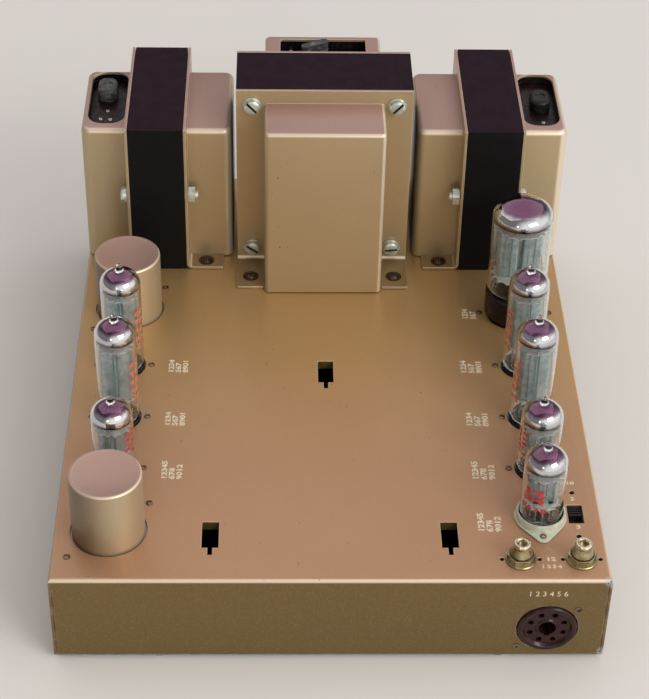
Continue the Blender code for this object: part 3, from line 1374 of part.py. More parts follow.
def make_knob(axis):
    """The turning knob of the voltage selector, with a raised bar across it."""
    disc = circle(KNOB_DIAMETER, PHONO_STEPS)
    outline = rounded_rectangle(KNOB_BAR_LENGTH, KNOB_BAR_WIDTH, KNOB_BAR_WIDTH / 2, BELL_STEPS)

    def bar(bm):
        prism(bm, outline, KNOB_DISC_HEIGHT / 2, KNOB_HEIGHT)
        bevel_where(bm, top_edge(bm, KNOB_HEIGHT), PLUG_TOP_ROUND, ROUND_STEPS)

    def pivot(bm):
        low = -GAP - SELECTOR_SHEET - KNOB_PIVOT_END
        prism(bm, circle(KNOB_PIVOT_DIAMETER, HOLE_STEPS), low, KNOB_DISC_HEIGHT / 2)

    base = solid(prism, disc, 0.0, KNOB_DISC_HEIGHT)
    knob = piece("voltage_selector_knob", base, "black_bakelite", turn=KNOB_ANGLE, parent=axis)
    join(knob, solid(bar), "bar")
    join(knob, solid(pivot), "pivot")


def make_output_transformer(side, plug_row):
    """An output transformer turned so that its covers face the sides."""
    word = "left" if side < 0 else "right"
    unit = output_transformer()
    place = (side * OUTPUT_X, row(OUTPUT_ROW), TOP + GAP)
    base = anchor(word + "_output_transformer", place, side * math.pi / 2)
    make_core(word + "_output_core", unit, base)
    make_winding(word + "_output_winding", unit, base)
    outer = end_cover(word + "_outer_cover", unit, base, 0.0)
    end_cover(word + "_inner_cover", unit, base, math.pi)
    wall = unit.plate_face + PLATE_SHEET
    shift = side * IMPEDANCE_OPENING_SHIFT
    centre = (shift, -wall - IMPEDANCE_OPENING_RIM - IMPEDANCE_OPENING_WIDTH / 2)
    outline = rounded_rectangle(
        IMPEDANCE_OPENING_LENGTH, IMPEDANCE_OPENING_WIDTH, IMPEDANCE_OPENING_ROUND, BELL_STEPS, centre
    )
    top_opening(outer, unit, outline)
    along = side * (plug_row - OUTPUT_ROW)
    across = -wall - PLUG_FROM_PLATE
    hole = PLUG_PIN_DIAMETER + 2 * PIN_CLEARANCE
    places = [((along + end * PLUG_PIN_PITCH / 2, across), hole) for end in (-1, 1)]
    top = selector_panel(word + "_impedance_panel", unit, base, 0.0, SELECTOR_DROP, places)
    make_bolt(word + "_output_bolt", unit, base, unit.bolts[0 if side > 0 else 1])
    axis = anchor(word + "_plug_axis", (along, across, top + GAP), parent=base)
    make_plug(word + "_impedance_plug", axis)


def make_plug(name, axis):
    """The two-pin plug that sets the output impedance."""
    outline = rounded_rectangle(PLUG_LENGTH, PLUG_WIDTH, PLUG_ROUND, BELL_STEPS)

    def body(bm):
        prism(bm, outline, 0.0, PLUG_HEIGHT)
        bevel_where(bm, top_edge(bm, PLUG_HEIGHT), PLUG_TOP_ROUND, ROUND_STEPS)

    def pins(bm):
        for end in (-1, 1):
            outline = circle(PLUG_PIN_DIAMETER, HOLE_STEPS, (end * PLUG_PIN_PITCH / 2, 0.0))
            prism(bm, outline, -GAP - PLUG_PIN_LENGTH, PLUG_HEIGHT / 2)

    plug = piece(name, solid(body), "black_bakelite", parent=axis)
    join(plug, solid(pins), "pins")


# Rear face

def terminal_places():
    """X places of the speaker terminals."""
    middle = (TERMINAL_COUNT - 1) / 2
    return [STRIP_X + (number - middle) * TERMINAL_PITCH for number in range(TERMINAL_COUNT)]


def make_terminal_strip():
    """The strip with its screw terminals, fixed to the rear face."""
    height = CHASSIS_BOTTOM + STRIP_HEIGHT
    face = REAR_FACE + GAP
    outline = rounded_rectangle(STRIP_WIDTH, STRIP_TALL, STRIP_ROUND, centre=(STRIP_X, height))
    plate = solid(prism, outline, face, face + STRIP_THICKNESS, "y")
    strip = piece("speaker_terminal_strip", plate, "board")

    def terminals(bm):
        base, head = TERMINAL_BASE_DIAMETER / 2, TERMINAL_HEAD_DIAMETER / 2
        shank = TERMINAL_SHANK_DIAMETER / 2
        top = STRIP_THICKNESS + TERMINAL_BASE_HEIGHT + TERMINAL_HEAD_HEIGHT
        profile = [
            (0.0, top),
            (head, top),
            (head, top - TERMINAL_HEAD_HEIGHT),
            (base, top - TERMINAL_HEAD_HEIGHT),
            (base, STRIP_THICKNESS / 2),
            (shank, STRIP_THICKNESS / 2),
            (shank, -TERMINAL_TAIL),
            (0.0, -TERMINAL_TAIL),
        ]
        for x in terminal_places():
            turned(bm, profile, TERMINAL_STEPS, centre=(x, face, height), axis="y")

    join(strip, solid(terminals), "terminals")


def make_mains_inlet():
    """A recessed two-pin inlet through the rear face."""
    place = (INLET_X, REAR_FACE, CHASSIS_BOTTOM + INLET_HEIGHT)
    flange = rounded_rectangle(INLET_WIDTH, INLET_TALL, INLET_ROUND)
    inlet = piece("mains_inlet", solid(prism, flange, GAP, INLET_PROUD, "y"), "black_bakelite", place)
    body = rectangle(INLET_BODY_WIDTH, INLET_BODY_TALL)
    join(inlet, solid(prism, body, -INLET_DEPTH, INLET_PROUD / 2, "y"), "body")
    mouth = rounded_rectangle(INLET_BODY_WIDTH - 2 * INLET_WALL, INLET_BODY_TALL - 2 * INLET_WALL, INLET_WALL)
    floor = INLET_PROUD - INLET_RECESS
    cut(inlet, solid(prism, mouth, floor, INLET_PROUD + OVERRUN, "y"), "recess")

    def pins(bm):
        for side in (-1, 1):
            outline = circle(INLET_PIN_DIAMETER, HOLE_STEPS, (side * INLET_PIN_PITCH / 2, 0.0))
            prism(bm, outline, floor - INLET_WALL, INLET_PROUD - INLET_PIN_SETBACK, "y")

    join(inlet, solid(pins), "pins")


# Tag board

def make_tag_board():
    """The board of small components, on two pillars under the top sheet."""
    high = UNDERSIDE - GAP - BOARD_PILLAR_HEIGHT
    middle = row(BOARD_ROW)
    outline = rectangle(BOARD_LENGTH, BOARD_WIDTH, (0.0, middle))
    board = piece("tag_board", solid(prism, outline, high - BOARD_SHEET, high), "board")

    def pillars(bm):
        for side in (-1, 1):
            x = side * (BOARD_LENGTH / 2 - BOARD_PILLAR_INSET)
            outline = circle(BOARD_PILLAR_DIAMETER, COMPONENT_STEPS, (x, middle))
            prism(bm, outline, high - BOARD_SHEET / 2, UNDERSIDE - GAP)

    def components(bm):
        for number in range(COMPONENT_COUNT):
            diameter = COMPONENT_DIAMETERS[number % len(COMPONENT_DIAMETERS)]
            x = (number - (COMPONENT_COUNT - 1) / 2) * COMPONENT_PITCH
            centre = (x, high - BOARD_SHEET - diameter / 2 + COMPONENT_SINK)
            outline = circle(diameter, COMPONENT_STEPS, centre)
            prism(bm, outline, middle - COMPONENT_LENGTH / 2, middle + COMPONENT_LENGTH / 2, "y")

    join(board, solid(pillars), "pillars")
    join(board, solid(components), "components")


PENTODE_ANODE = (PENTODE_ANODE_HEIGHT, PENTODE_ANODE_WIDTH, PENTODE_ANODE_DEPTH)
TRIODE_ANODE = (TRIODE_ANODE_HEIGHT, TRIODE_ANODE_WIDTH, TRIODE_ANODE_DEPTH)

# Name, kind, X place and row of each valve
VALVES = (
    ("left_rear_pentode", "pentode", LEFT_COLUMN, REAR_PENTODE_ROW),
    ("left_front_pentode", "pentode", LEFT_COLUMN, FRONT_PENTODE_ROW),
    ("left_triode", "triode", LEFT_COLUMN, TRIODE_ROW),
    ("rectifier", "rectifier", RIGHT_COLUMN, RECTIFIER_ROW),
    ("right_rear_pentode", "pentode", RIGHT_COLUMN, REAR_PENTODE_ROW),
    ("right_front_pentode", "pentode", RIGHT_COLUMN, FRONT_PENTODE_ROW),
    ("right_triode", "triode", RIGHT_COLUMN, TRIODE_ROW),
    ("front_triode", "front_triode", FRONT_TRIODE_X, FRONT_TRIODE_ROW),
)
CANS = (("rear_capacitor_can", REAR_CAN_ROW), ("front_capacitor_can", FRONT_CAN_ROW))


def make_valves():
    """Every valve with its socket."""
    for name, kind, x, distance in VALVES:
        if kind == "rectifier":
            octal_socket(name + "_socket", x, distance)
            make_rectifier(name, x, distance)
            continue
        on_top = kind == "front_triode"
        stand = FRONT_SOCKET_STAND if on_top else SOCKET_STAND
        noval_socket(name + "_socket", x, distance, on_top)
        if kind == "pentode":
            noval_valve(name, x, distance, PENTODE_GLASS_HEIGHT, PENTODE_ANODE, stand)
        else:
            noval_valve(name, x, distance, TRIODE_GLASS_HEIGHT, TRIODE_ANODE, stand)


def main():
    """Builds the whole amplifier in an empty scene."""
    for item in list(bpy.data.objects):
        bpy.data.objects.remove(item)
    make_chassis()
    make_bottom_cover()
    make_valves()
    for name, distance in CANS:
        make_can(name, distance)
    for number, x in enumerate(PHONO_XS, 1):
        make_phono("phono_socket_" + str(number), x)
    make_switch()
    make_outlet()
    make_mains_transformer()
    make_output_transformer(-1, LEFT_PLUG_ROW)
    make_output_transformer(1, RIGHT_PLUG_ROW)
    make_terminal_strip()
    make_mains_inlet()
    make_tag_board()


main()
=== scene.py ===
"""The looks of a stereo valve power amplifier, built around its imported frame.

Units are metres in the frame's own axes: +Z is up and the front face looks along -Y.
Every mesh ends in those axes, with its object at the origin.
"""

import math

import bmesh
import bpy
from mathutils import Matrix, Vector


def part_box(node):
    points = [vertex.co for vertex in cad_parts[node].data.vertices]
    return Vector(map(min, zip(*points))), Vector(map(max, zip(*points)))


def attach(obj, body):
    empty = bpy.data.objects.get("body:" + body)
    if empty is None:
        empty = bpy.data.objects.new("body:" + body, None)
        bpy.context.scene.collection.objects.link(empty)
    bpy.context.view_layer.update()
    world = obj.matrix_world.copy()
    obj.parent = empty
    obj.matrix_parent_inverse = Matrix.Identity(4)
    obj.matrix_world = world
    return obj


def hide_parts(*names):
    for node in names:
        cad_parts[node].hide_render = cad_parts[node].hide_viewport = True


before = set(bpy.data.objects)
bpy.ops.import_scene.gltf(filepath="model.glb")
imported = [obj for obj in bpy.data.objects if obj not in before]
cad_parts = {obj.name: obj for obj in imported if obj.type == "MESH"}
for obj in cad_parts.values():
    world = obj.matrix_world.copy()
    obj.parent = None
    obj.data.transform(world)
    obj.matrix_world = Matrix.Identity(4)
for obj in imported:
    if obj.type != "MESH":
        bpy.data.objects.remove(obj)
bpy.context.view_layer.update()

MM = 0.001
GAP = 0.3 * MM
OVERRUN = 2.0 * MM
MERGE = 0.001 * MM
FINE = 48
ROUND = 24
SMALL = 16
CORNER = 6
SMOOTH_ANGLE = math.radians(32)
SOFT_EDGE = 0.2 * MM
THIN_EDGE = 0.12 * MM

# Camera, as solved from the photograph's perspective
FOCAL_PIXELS = 1983.8
IMAGE_LONG_SIDE = 699
SENSOR_WIDTH = 36.0
CAMERA_PLACE = (-26.3 * MM, -832.5 * MM, 722.7 * MM)
CAMERA_PITCH = math.radians(38.72)
CAMERA_YAW = math.radians(1.79)
CAMERA_ROLL = math.radians(-1.29)

# Floor, lamps and sky
FLOOR_SIDE = 6.0
FLOOR_MOTTLE = 0.6
LIGHT_TARGET = (0.0, 0.0, 0.05)
DIM_SKY = (0.22, 0.2, 0.21, 1.0)
BRIGHT_SKY = (1.12, 1.1, 1.07, 1.0)
SKY_SIDE = (0.75, -0.66, 0.0)
SKY_FADE = (0.0, 0.75)
LAMPS = (
    ("front", (1.3, -1.35, 1.3), (1.2, 0.8), 17.5, (1.0, 0.98, 0.95)),
    ("overhead", (-0.1, 0.8, 1.8), (4.0, 3.0), 23.0, (1.0, 0.97, 0.95)),
    ("spark", (-0.55, -1.5, 0.75), (0.12, 0.12), 1.2, (1.0, 0.85, 0.6)),
)

# Chassis tray
SHEET = 1.2 * MM
COVER_SHEET = 1.0 * MM
CAVITY_STEPS = 3
CHASSIS_BEND = 2.4 * MM
CHASSIS_FLANGE = 10.0 * MM
SEAM_WIDTH = 0.5 * MM
SEAM_DEPTH = 0.6 * MM
KEYHOLE = (8.1 * MM, 17.6 * MM)
KEYHOLE_STEM = (2.2 * MM, 4.9 * MM)
KEYHOLE_LIP_DROP = 4.0 * MM
KEYHOLE_SPREAD = 57.8 * MM
FRONT_KEYHOLE_ROW = 31.0 * MM
CENTRE_KEYHOLE_ROW = 155.2 * MM
RIVET_RADIUS = 1.8 * MM
RIVET_RISE = 0.55 * MM
COVER_SCREW = (3.0 * MM, 1.1 * MM)
COVER_SCREW_INSET = 5.5 * MM
COVER_SCREW_SHARES = ((-1, -1), (0, -1), (1, -1), (-1, 1), (0, 1), (1, 1), (-1, 0), (1, 0))

# Nine-pin valves
NOVAL_HOLE = 22.6 * MM
NOVAL_RADIUS = 10.5 * MM
NOVAL_WALL = 0.9 * MM
NOVAL_HEEL = 3.0 * MM
NOVAL_DOME = 8.6 * MM
PIP_RADIUS = 1.7 * MM
PIP_RISE = 4.2 * MM
PIP_FLARE = 1.7
NOVAL_BUTTON = 2.2 * MM
NOVAL_RIVET_REACH = 14.3 * MM
NOVAL_PIN_CIRCLE = 11.9 * MM
NOVAL_PIN = (0.5 * MM, 7.0 * MM)
NOVAL_PIN_PLACES = 10
MICA_RADIUS = 7.7 * MM
MICA_TOOTH = 1.8 * MM
MICA_SHEET = 0.5 * MM
MICA_RISE = 0.4 * MM
MICA_TEETH = 14
TOOTH_SHARES = ((0.0, 1.0), (0.3, 0.0), (0.7, 0.0))
SHORT_TOOTH_SHARE = 0.6
ANODE_MARGIN = 7.0 * MM
PENTODE_ANODE = (15.0 * MM, 10.0 * MM, 32.0 * MM)
TRIODE_ANODE = (14.6 * MM, 7.0 * MM, 17.0 * MM)
ANODE_CORNER = 2.4 * MM
ANODE_CORNER_SHARE = 0.28
ANODE_WING = 0.8 * MM
ANODE_SLIT = 1.3 * MM
ANODE_STEP = 1.5 * MM
ROD = 0.8 * MM
ROD_SHARES = ((-0.36, 0.0), (0.36, 0.0), (0.0, -0.62), (0.0, 0.62), (-0.18, 0.0), (0.18, 0.0))
RING_SHARE = 0.8
LEAD_SHARE = 0.7
LEAD_LEAN_SHARE = 0.8
ROD_RISES = (3.4 * MM, 2.2 * MM)
GETTER_RING = (3.2 * MM, 6.0 * MM)
RING_TURN = 0.4
RING_STEPS = 15
FILM = 0.08 * MM
FILM_GAP = 0.06 * MM
FILM_EYE = 2.0 * MM
NOVAL_FILM_DROPS = (0.4 * MM, 1.3 * MM)
FRINGE = 0.3 * MM
FRINGE_WAVES = ((0.6, 3, 0.7), (0.4, 7, 0.0))
DOME_STEPS = 14
FILM_STEPS = 16

# Nine-pin sockets
SOCKET_TOP = 10.7 * MM
SOCKET_BODY = 9.3 * MM
SOCKET_STAND = 1.0 * MM
FRONT_SOCKET_STAND = 3.0 * MM
SOCKET_ROUND = 0.5 * MM
SOCKET_BORE = 3.0 * MM
PIN_BORE = 1.6 * MM
SADDLE = (25.6 * MM, 7.6 * MM)
SADDLE_SHEET = 0.8 * MM
SADDLE_BORE = 21.6 * MM
SKIRT = (1.3 * MM, 4.5 * MM)
SKIRT_BORE = 10.9 * MM

# Rectifier and its socket
RECTIFIER_DOME = 9.0 * MM
RECTIFIER_NECK = 12.9 * MM
RECTIFIER_WALL = 1.1 * MM
RECTIFIER_BASE = (16.6 * MM, 15.5 * MM)
RECTIFIER_RECESS = 4.0 * MM
RECTIFIER_ANODE = (10.2 * MM, 12.0 * MM, 30.0 * MM)
RECTIFIER_ANODE_SPREAD = 6.3 * MM
RECTIFIER_ROD_REACH = 10.6 * MM
RECTIFIER_MICA = 13.2 * MM
RECTIFIER_MICA_TEETH = 18
RECTIFIER_FILM_DROPS = (0.6 * MM, 1.8 * MM)
OCTAL_HOLE = 31.0 * MM
OCTAL_PIN_CIRCLE = 17.45 * MM
OCTAL_PIN = (1.2 * MM, 11.0 * MM)
OCTAL_PIN_PLACES = 8
OCTAL_PIN_BORE = 3.0 * MM
OCTAL_KEY = (3.9 * MM, 13.0 * MM)
KEY_TIP_SHARE = 0.8
OCTAL_KEY_BORE = 9.0 * MM
OCTAL_TOP = 14.7 * MM
OCTAL_BODY = 13.5 * MM
OCTAL_SHOULDER = 2.9 * MM
OCTAL_SADDLE = (33.4 * MM, 7.6 * MM)
OCTAL_SADDLE_BORE = 29.6 * MM
OCTAL_RIVET_REACH = 19.3 * MM

# Cans, phonos, switch and outlet
CAN_RADIUS = 17.7 * MM
CAN_HOLE = 37.4 * MM
CAN_ROUND = 1.3 * MM
CAN_SINK = 0.35 * MM
CAN_LIP = 1.1 * MM
CAN_PLATE = (5.0 * MM, 1.6 * MM)
CAN_RIVET_REACH = 18.7 * MM
PHONO_HOLE = 10.0 * MM
PHONO_SIDE_HOLE = (2.2 * MM, 9.0 * MM)
PHONO_BARREL = 4.15 * MM
PHONO_DEPTH = 9.0 * MM
# Radius, height and seat of the thin black ring that paints the shadow under a phono barrel
PHONO_SHADOW_RING = (5.8 * MM, 0.3 * MM, 3.9 * MM)
PHONO_SLEEVE = (5.4 * MM, 4.2 * MM, 4.3 * MM)
PHONO_NUT = (12.2 * MM, 0.95 * MM, 3.9 * MM)
PHONO_WASHER = (7.6 * MM, 1.0 * MM)
PHONO_BUSH = 4.6 * MM
PHONO_INSERT = (2.1 * MM, 4.0 * MM)
PHONO_CONTACT = (1.2 * MM, 3.0 * MM)
SWITCH_SLOT = (7.5 * MM, 12.9 * MM)
SWITCH_SCREW = (1.1 * MM, 0.9 * MM)
SWITCH_SCREW_HOLE = 2.6 * MM
SWITCH_SCREW_REACH = 15.5 * MM
SWITCH_FRAME = (0.8 * MM, 2.0 * MM)
SWITCH_CASE = (10.6 * MM, 23.0 * MM)
SWITCH_TRACK = 7.0 * MM
SLIDER_RIB = (0.8 * MM, 0.7 * MM, 1.6 * MM)
OUTLET_RADIUS = 14.7 * MM
OUTLET_DISH = 1.9 * MM
OUTLET_BODY = (13.0 * MM, 1.9 * MM)
OUTLET_HOLE = (2.9 * MM, 10.0 * MM)
OUTLET_KEY_HOLE = 8.6 * MM
OUTLET_KEYWAY = 2.4 * MM
OUTLET_BOSS = (5.7 * MM, 0.6 * MM)
OUTLET_SLEEVE = (1.35 * MM, 6.0 * MM, 4.0 * MM)
OUTLET_SADDLE_LOW = 1.5 * MM
OUTLET_EAR_ANGLE = math.radians(42)
OUTLET_RIVET_REACH = (13.9 * MM, 12.6 * MM)

# Transformers: width left beside the bell, drop of its top, corner and edge radii
PLATE = 1.5 * MM
BELL_WALL = 1.4 * MM
FOOT_CORNER = 1.2 * MM
FOOT_BEND = 2.0 * MM
MAINS_BELL = (15.4 * MM, 8.0 * MM, 2.6 * MM, 2.2 * MM)
MAINS_FOOT = (15.2 * MM, 27.4 * MM)
OUTPUT_BELL = (12.6 * MM, 7.6 * MM, 5.0 * MM, 3.2 * MM)
OUTPUT_FOOT = (12.3 * MM, 19.0 * MM)
YOKE_SHARE = 1 / 6
FOOT_SCREW = (3.2 * MM, 1.9 * MM)
FOOT_SCREW_SETBACK = 9.6 * MM
FOOT_STAIN = (4.5 * MM, 0.25 * MM)
SLOT_HALF = 0.5 * MM
BOLT_RADIUS = 2.4 * MM
BOLT_CLEARANCE = 0.4 * MM
BOLT_HEAD = (4.5 * MM, 3.6 * MM)
BOLT_SLOT = (0.75 * MM, 1.8 * MM)
# Depth of the black block that paints the shade in a bolt's slot
BOLT_SLOT_SHADE = 0.9 * MM
BOLT_END = (2.0 * MM, 0.4 * MM)
MAINS_SLANTS = (0.6, 0.8, -0.1, -0.8)
OUTPUT_SLANT = 0.4
NUT = (8.6 * MM, 3.8 * MM)
IMPEDANCE_OPENING = (54.0 * MM, 20.0 * MM, 8.0 * MM)
IMPEDANCE_RIM = 1.4 * MM
# Corner radius and thickness of the black sheets that paint the shade inside the bells
SHADE_SHEET = (4.4 * MM, 0.5 * MM)
IMPEDANCE_SHIFT = 2.0 * MM
VOLTAGE_OPENING = (47.8 * MM, 22.7 * MM, 1.2 * MM)
VOLTAGE_RIM = 4.0 * MM
CONTACT_RING = (1.2 * MM, 0.5 * MM, 0.4 * MM)
CONTACT_PITCH = 8.0 * MM
PANEL_CONTACTS = ((-2.7 * MM, 25.5 * MM), (2.7 * MM, 26.0 * MM), (0.8 * MM, 17.0 * MM))
VOLTAGE_CONTACT_SHARES = ((-1.7, 0.9), (-1.7, -0.9), (1.9, 0.0))
PLUG = (11.0 * MM, 16.0 * MM, 7.0 * MM)
PLUG_ROUND = (4.8 * MM, 2.2 * MM)
PLUG_DISH = (6.4 * MM, 0.7 * MM)
PLUG_PIN = (1.2 * MM, 4.3 * MM)
KNOB_DISC = (15.0 * MM, 2.4 * MM, 0.5 * MM)
KNOB_TEETH = 30
KNOB_BAR = (16.4 * MM, 4.8 * MM, 1.4 * MM)
KNOB_HEIGHT = 8.4 * MM
KNOB_PIVOT = (2.0 * MM, 3.8 * MM)
KNOB_ANGLE = math.radians(27)

# Rear face
INLET_FLANGE = (34.0 * MM, 24.0 * MM, 3.0 * MM)
INLET_BODY = (26.0 * MM, 17.0 * MM)
INLET_WALL = 1.6 * MM
INLET_RECESS = 13.0 * MM
INLET_PIN = (2.0 * MM, 9.5 * MM)
INLET_PIN_SETBACK = 2.5 * MM
INLET_PIN_REACH = 6.5 * MM
INLET_SCREW = (2.4 * MM, 0.2 * MM)
INLET_SCREW_REACH = 14.6 * MM
STRIP = (92.0 * MM, 20.0 * MM, 2.4 * MM, 2.0 * MM)
TERMINAL_COUNT = 6
TERMINAL_PITCH = 14.0 * MM
TERMINAL_HOLE = 5.2 * MM
TERMINAL_WASHER = (4.0 * MM, 1.6 * MM)
TERMINAL_HEAD = (3.5 * MM, 2.0 * MM)
TERMINAL_SHANK = 1.8 * MM

# Paint on sheet and glass
PAINT_RISE = 0.04 * MM
GLASS_SLICES = 12
DIGIT_STEPS = 3
STROKE_SHARE = 0.04
GLASS_STROKE_SHARE = 0.05

# Painted digits: text, width, height, place across and row; the labels are turned
SHORT_LABEL = "1234\n567\n8901"
LONG_LABEL = "12345\n678\n9012"
LABEL_MARKS = (
    ("left_numbers_1", SHORT_LABEL, 10.5 * MM, 10.8 * MM, -78.2 * MM, 159.4 * MM),
    ("left_numbers_2", SHORT_LABEL, 10.5 * MM, 11.1 * MM, -78.2 * MM, 116.5 * MM),
    ("left_numbers_3", LONG_LABEL, 10.5 * MM, 13.8 * MM, -78.2 * MM, 77.3 * MM),
    ("right_numbers_1", SHORT_LABEL, 11.6 * MM, 10.8 * MM, 77.8 * MM, 159.4 * MM),
    ("right_numbers_2", SHORT_LABEL, 11.6 * MM, 11.1 * MM, 77.8 * MM, 116.5 * MM),
    ("right_numbers_3", LONG_LABEL, 11.6 * MM, 13.8 * MM, 77.8 * MM, 77.3 * MM),
    ("right_numbers_4", LONG_LABEL, 11.6 * MM, 13.3 * MM, 77.8 * MM, 39.7 * MM),
    ("right_numbers_5", "1234\n567", 7.8 * MM, 9.1 * MM, 80.0 * MM, 205.7 * MM),
)
PLAIN_MARKS = (
    ("switch_number_1", "10", 3.6 * MM, 2.4 * MM, 120.6 * MM, 68.0 * MM),
    ("switch_number_2", "2", 1.9 * MM, 2.6 * MM, 120.3 * MM, 56.5 * MM),
    ("switch_number_3", "3", 1.9 * MM, 2.6 * MM, 121.0 * MM, 36.5 * MM),
    ("input_numbers", "1 2 3 4", 9.2 * MM, 2.4 * MM, 105.4 * MM, 9.5 * MM),
    ("input_number", "12", 4.0 * MM, 2.6 * MM, 105.6 * MM, 14.5 * MM),
)
OUTLET_MARK = (18.1 * MM, 3.2 * MM, 103.7 * MM, 41.7 * MM)
STRIP_MARK = (72.6 * MM, 2.6 * MM, 7.0 * MM)
PANEL_MARK = (8.0 * MM, 4.0 * MM, 16.5 * MM, 3.0 * MM)
PENTODE_MARK = (7.0 * MM, 26.0 * MM, 27.0 * MM)
TRIODE_MARK = (8.0 * MM, 15.0 * MM, 20.0 * MM)
FRONT_MARK = (12.0 * MM, 8.4 * MM, 19.0 * MM)
FRONT_LOW_MARK = (14.0 * MM, 3.6 * MM, 10.6 * MM)
LEFT_MARK_TURN = math.radians(62)
RIGHT_MARK_TURN = math.radians(-68)
FRONT_MARK_TURN = math.radians(-36)
FRONT_MARKS = (("upper", "12\n34", FRONT_MARK), ("lower", "5 6 7 8", FRONT_LOW_MARK))

# Sizes of the grain, stains and wear in the finishes, and of their painted highlights and reflections
DUSTING = 0.7 * MM
GRAIN = 0.8 * MM
FLAKE = 1.2 * MM
PEEL = 2.4 * MM
STAIN = 3.6 * MM
PATCH = 8.0 * MM
CLOUD = 70.0 * MM
FINE_RELIEF = 0.012 * MM
SOFT_RELIEF = 0.03 * MM
DEEP_RELIEF = 0.08 * MM
NARROW_RUB = 0.3 * MM
WIDE_RUB = 0.6 * MM
# Reach of the paint's pale edges, partly wear and partly a painted highlight
EDGE_WEAR_AND_HIGHLIGHT = 1.2 * MM
# Where the tops' painted reflection changes tone: axis, start and end
REAR_REFLECTION_FADE = ("Y", -110.0 * MM, 40.0 * MM)
FOOT_REFLECTION_FADE = ("Z", 60.0 * MM, 90.0 * MM)

# Worn spots, as shares of a node's box, and how far each reaches
TRAY_SPOT_SHARES = ((1.0, 0.0, 0.97), (1.0, 0.0, 0.03), (0.382, 0.0, 1.0))
TRAY_SPOT_REACHES = (4.2 * MM, 3.6 * MM, 1.4 * MM)
COVER_SPOT_SHARES = ((0.78, 0.0, 0.72),)
COVER_SPOT_REACHES = (1.1 * MM,)

# Turned outlines, as shares of a radius and a height
RIVET_SHARES = (
    (0.0, -0.9), (0.38, -0.9), (0.42, 0.2), (0.52, 1.0), (0.75, 1.0), (0.95, 0.7), (1.0, 0.0), (1.0, -0.4),
    (0.0, -1.4),
)
HEAD_SHARES = (
    (0.0, 1.0), (0.35, 0.97), (0.6, 0.88), (0.8, 0.7), (0.94, 0.42), (1.0, 0.12), (1.0, 0.0), (0.0, 0.0),
)
BOLT_HEAD_SHARES = (
    (0.0, 1.0), (0.6, 0.98), (0.84, 0.92), (0.96, 0.78), (1.0, 0.56), (1.0, 0.1), (1.12, 0.08), (1.12, 0.0),
)
PIN_SHARES = ((0.0, -1.0), (0.6, -1.0), (1.0, -0.93), (1.0, 0.03), (0.0, 0.03))
PIP_SHARES = ((0.0, 1.0), (0.34, 0.97), (0.6, 0.86), (0.7, 0.64), (0.9, 0.36), (1.02, 0.2), (1.3, 0.05))
SKIRT_SHARES = ((0.0, 0.0), (1.0, 0.0), (1.0, 0.86), (0.75, 1.0), (0.2, 1.0), (0.0, 0.9))
BARREL_SHARES = (
    (0.0, -1.0), (0.53, -1.0), (0.53, -0.06), (0.65, -0.01), (0.77, 0.0), (0.9, -0.02), (0.99, -0.08),
    (1.0, -0.22), (0.93, -0.28), (0.9, -0.33),
)
COLLAR_SHARES = ((0.0, 1.0), (0.93, 1.0), (1.0, 0.76), (1.0, 0.0), (0.0, 0.0))
SLEEVE_SHARES = (
    (0.0, 1.0), (0.78, 1.0), (0.8, 0.9), (0.88, 0.5), (0.97, 0.22), (1.0, 0.1), (1.0, 0.0), (0.0, 0.0),
)
INSERT_SHARES = ((0.0, -0.1), (1.0, -0.1), (1.0, 1.0), (0.7, 1.0), (0.7, 0.0), (0.0, 0.0))
CONTACT_SHARES = ((0.58, 0.0), (1.0, 0.0), (1.0, 0.96), (0.75, 1.0), (0.58, 0.96))
OUTLET_SHARES = (
    (0.74, 1.0), (0.76, 0.85), (0.79, 0.4), (0.83, 0.1), (0.88, 0.0), (0.93, 0.06), (0.97, 0.3), (1.0, 0.8),
)


# Outlines in two dimensions

def circle(diameter, steps, centre=(0.0, 0.0), start=0.0):
    """Points around a circle."""
    radius = diameter / 2
    turns = [start + 2 * math.pi * step / steps for step in range(steps)]
    return [(centre[0] + radius * math.cos(a), centre[1] + radius * math.sin(a)) for a in turns]


def arc(centre, radius, first, last, steps=CORNER):
    """Points along an arc, both ends included."""
    turns = [first + (last - first) * step / steps for step in range(steps + 1)]
    return [(centre[0] + radius * math.cos(a), centre[1] + radius * math.sin(a)) for a in turns]


def rectangle(width, height, centre=(0.0, 0.0)):
    """Corners of a rectangle."""
    corners = ((-1, -1), (1, -1), (1, 1), (-1, 1))
    return [(centre[0] + x * width / 2, centre[1] + y * height / 2) for x, y in corners]


def rounded(width, height, radius, centre=(0.0, 0.0)):
    """A rectangle with its corners as arcs."""
    points = []
    for corner, (x, y) in enumerate(((1, 1), (-1, 1), (-1, -1), (1, -1))):
        middle = (centre[0] + x * (width / 2 - radius), centre[1] + y * (height / 2 - radius))
        points += arc(middle, radius, corner * math.pi / 2, (corner + 1) * math.pi / 2)
    return points


def hexagon(across, centre=(0.0, 0.0)):
    """The corners of a nut."""
    return circle(across / math.cos(math.pi / 6), 6, centre)


def saddle(size, reach, turn=0.0):
    """A round plate with two smaller round ears, joined by tangents."""
    big, small = size[0] / 2, size[1] / 2
    lean = math.acos((big - small) / reach)
    points = arc((0.0, 0.0), big, lean, math.pi - lean)
    points += arc((-reach, 0.0), small, math.pi - lean, math.pi + lean)
    points += arc((0.0, 0.0), big, math.pi + lean, 2 * math.pi - lean)
    points += arc((reach, 0.0), small, -lean, lean)
    cosine, sine = math.cos(turn), math.sin(turn)
    return [(x * cosine - y * sine, x * sine + y * cosine) for x, y in points]


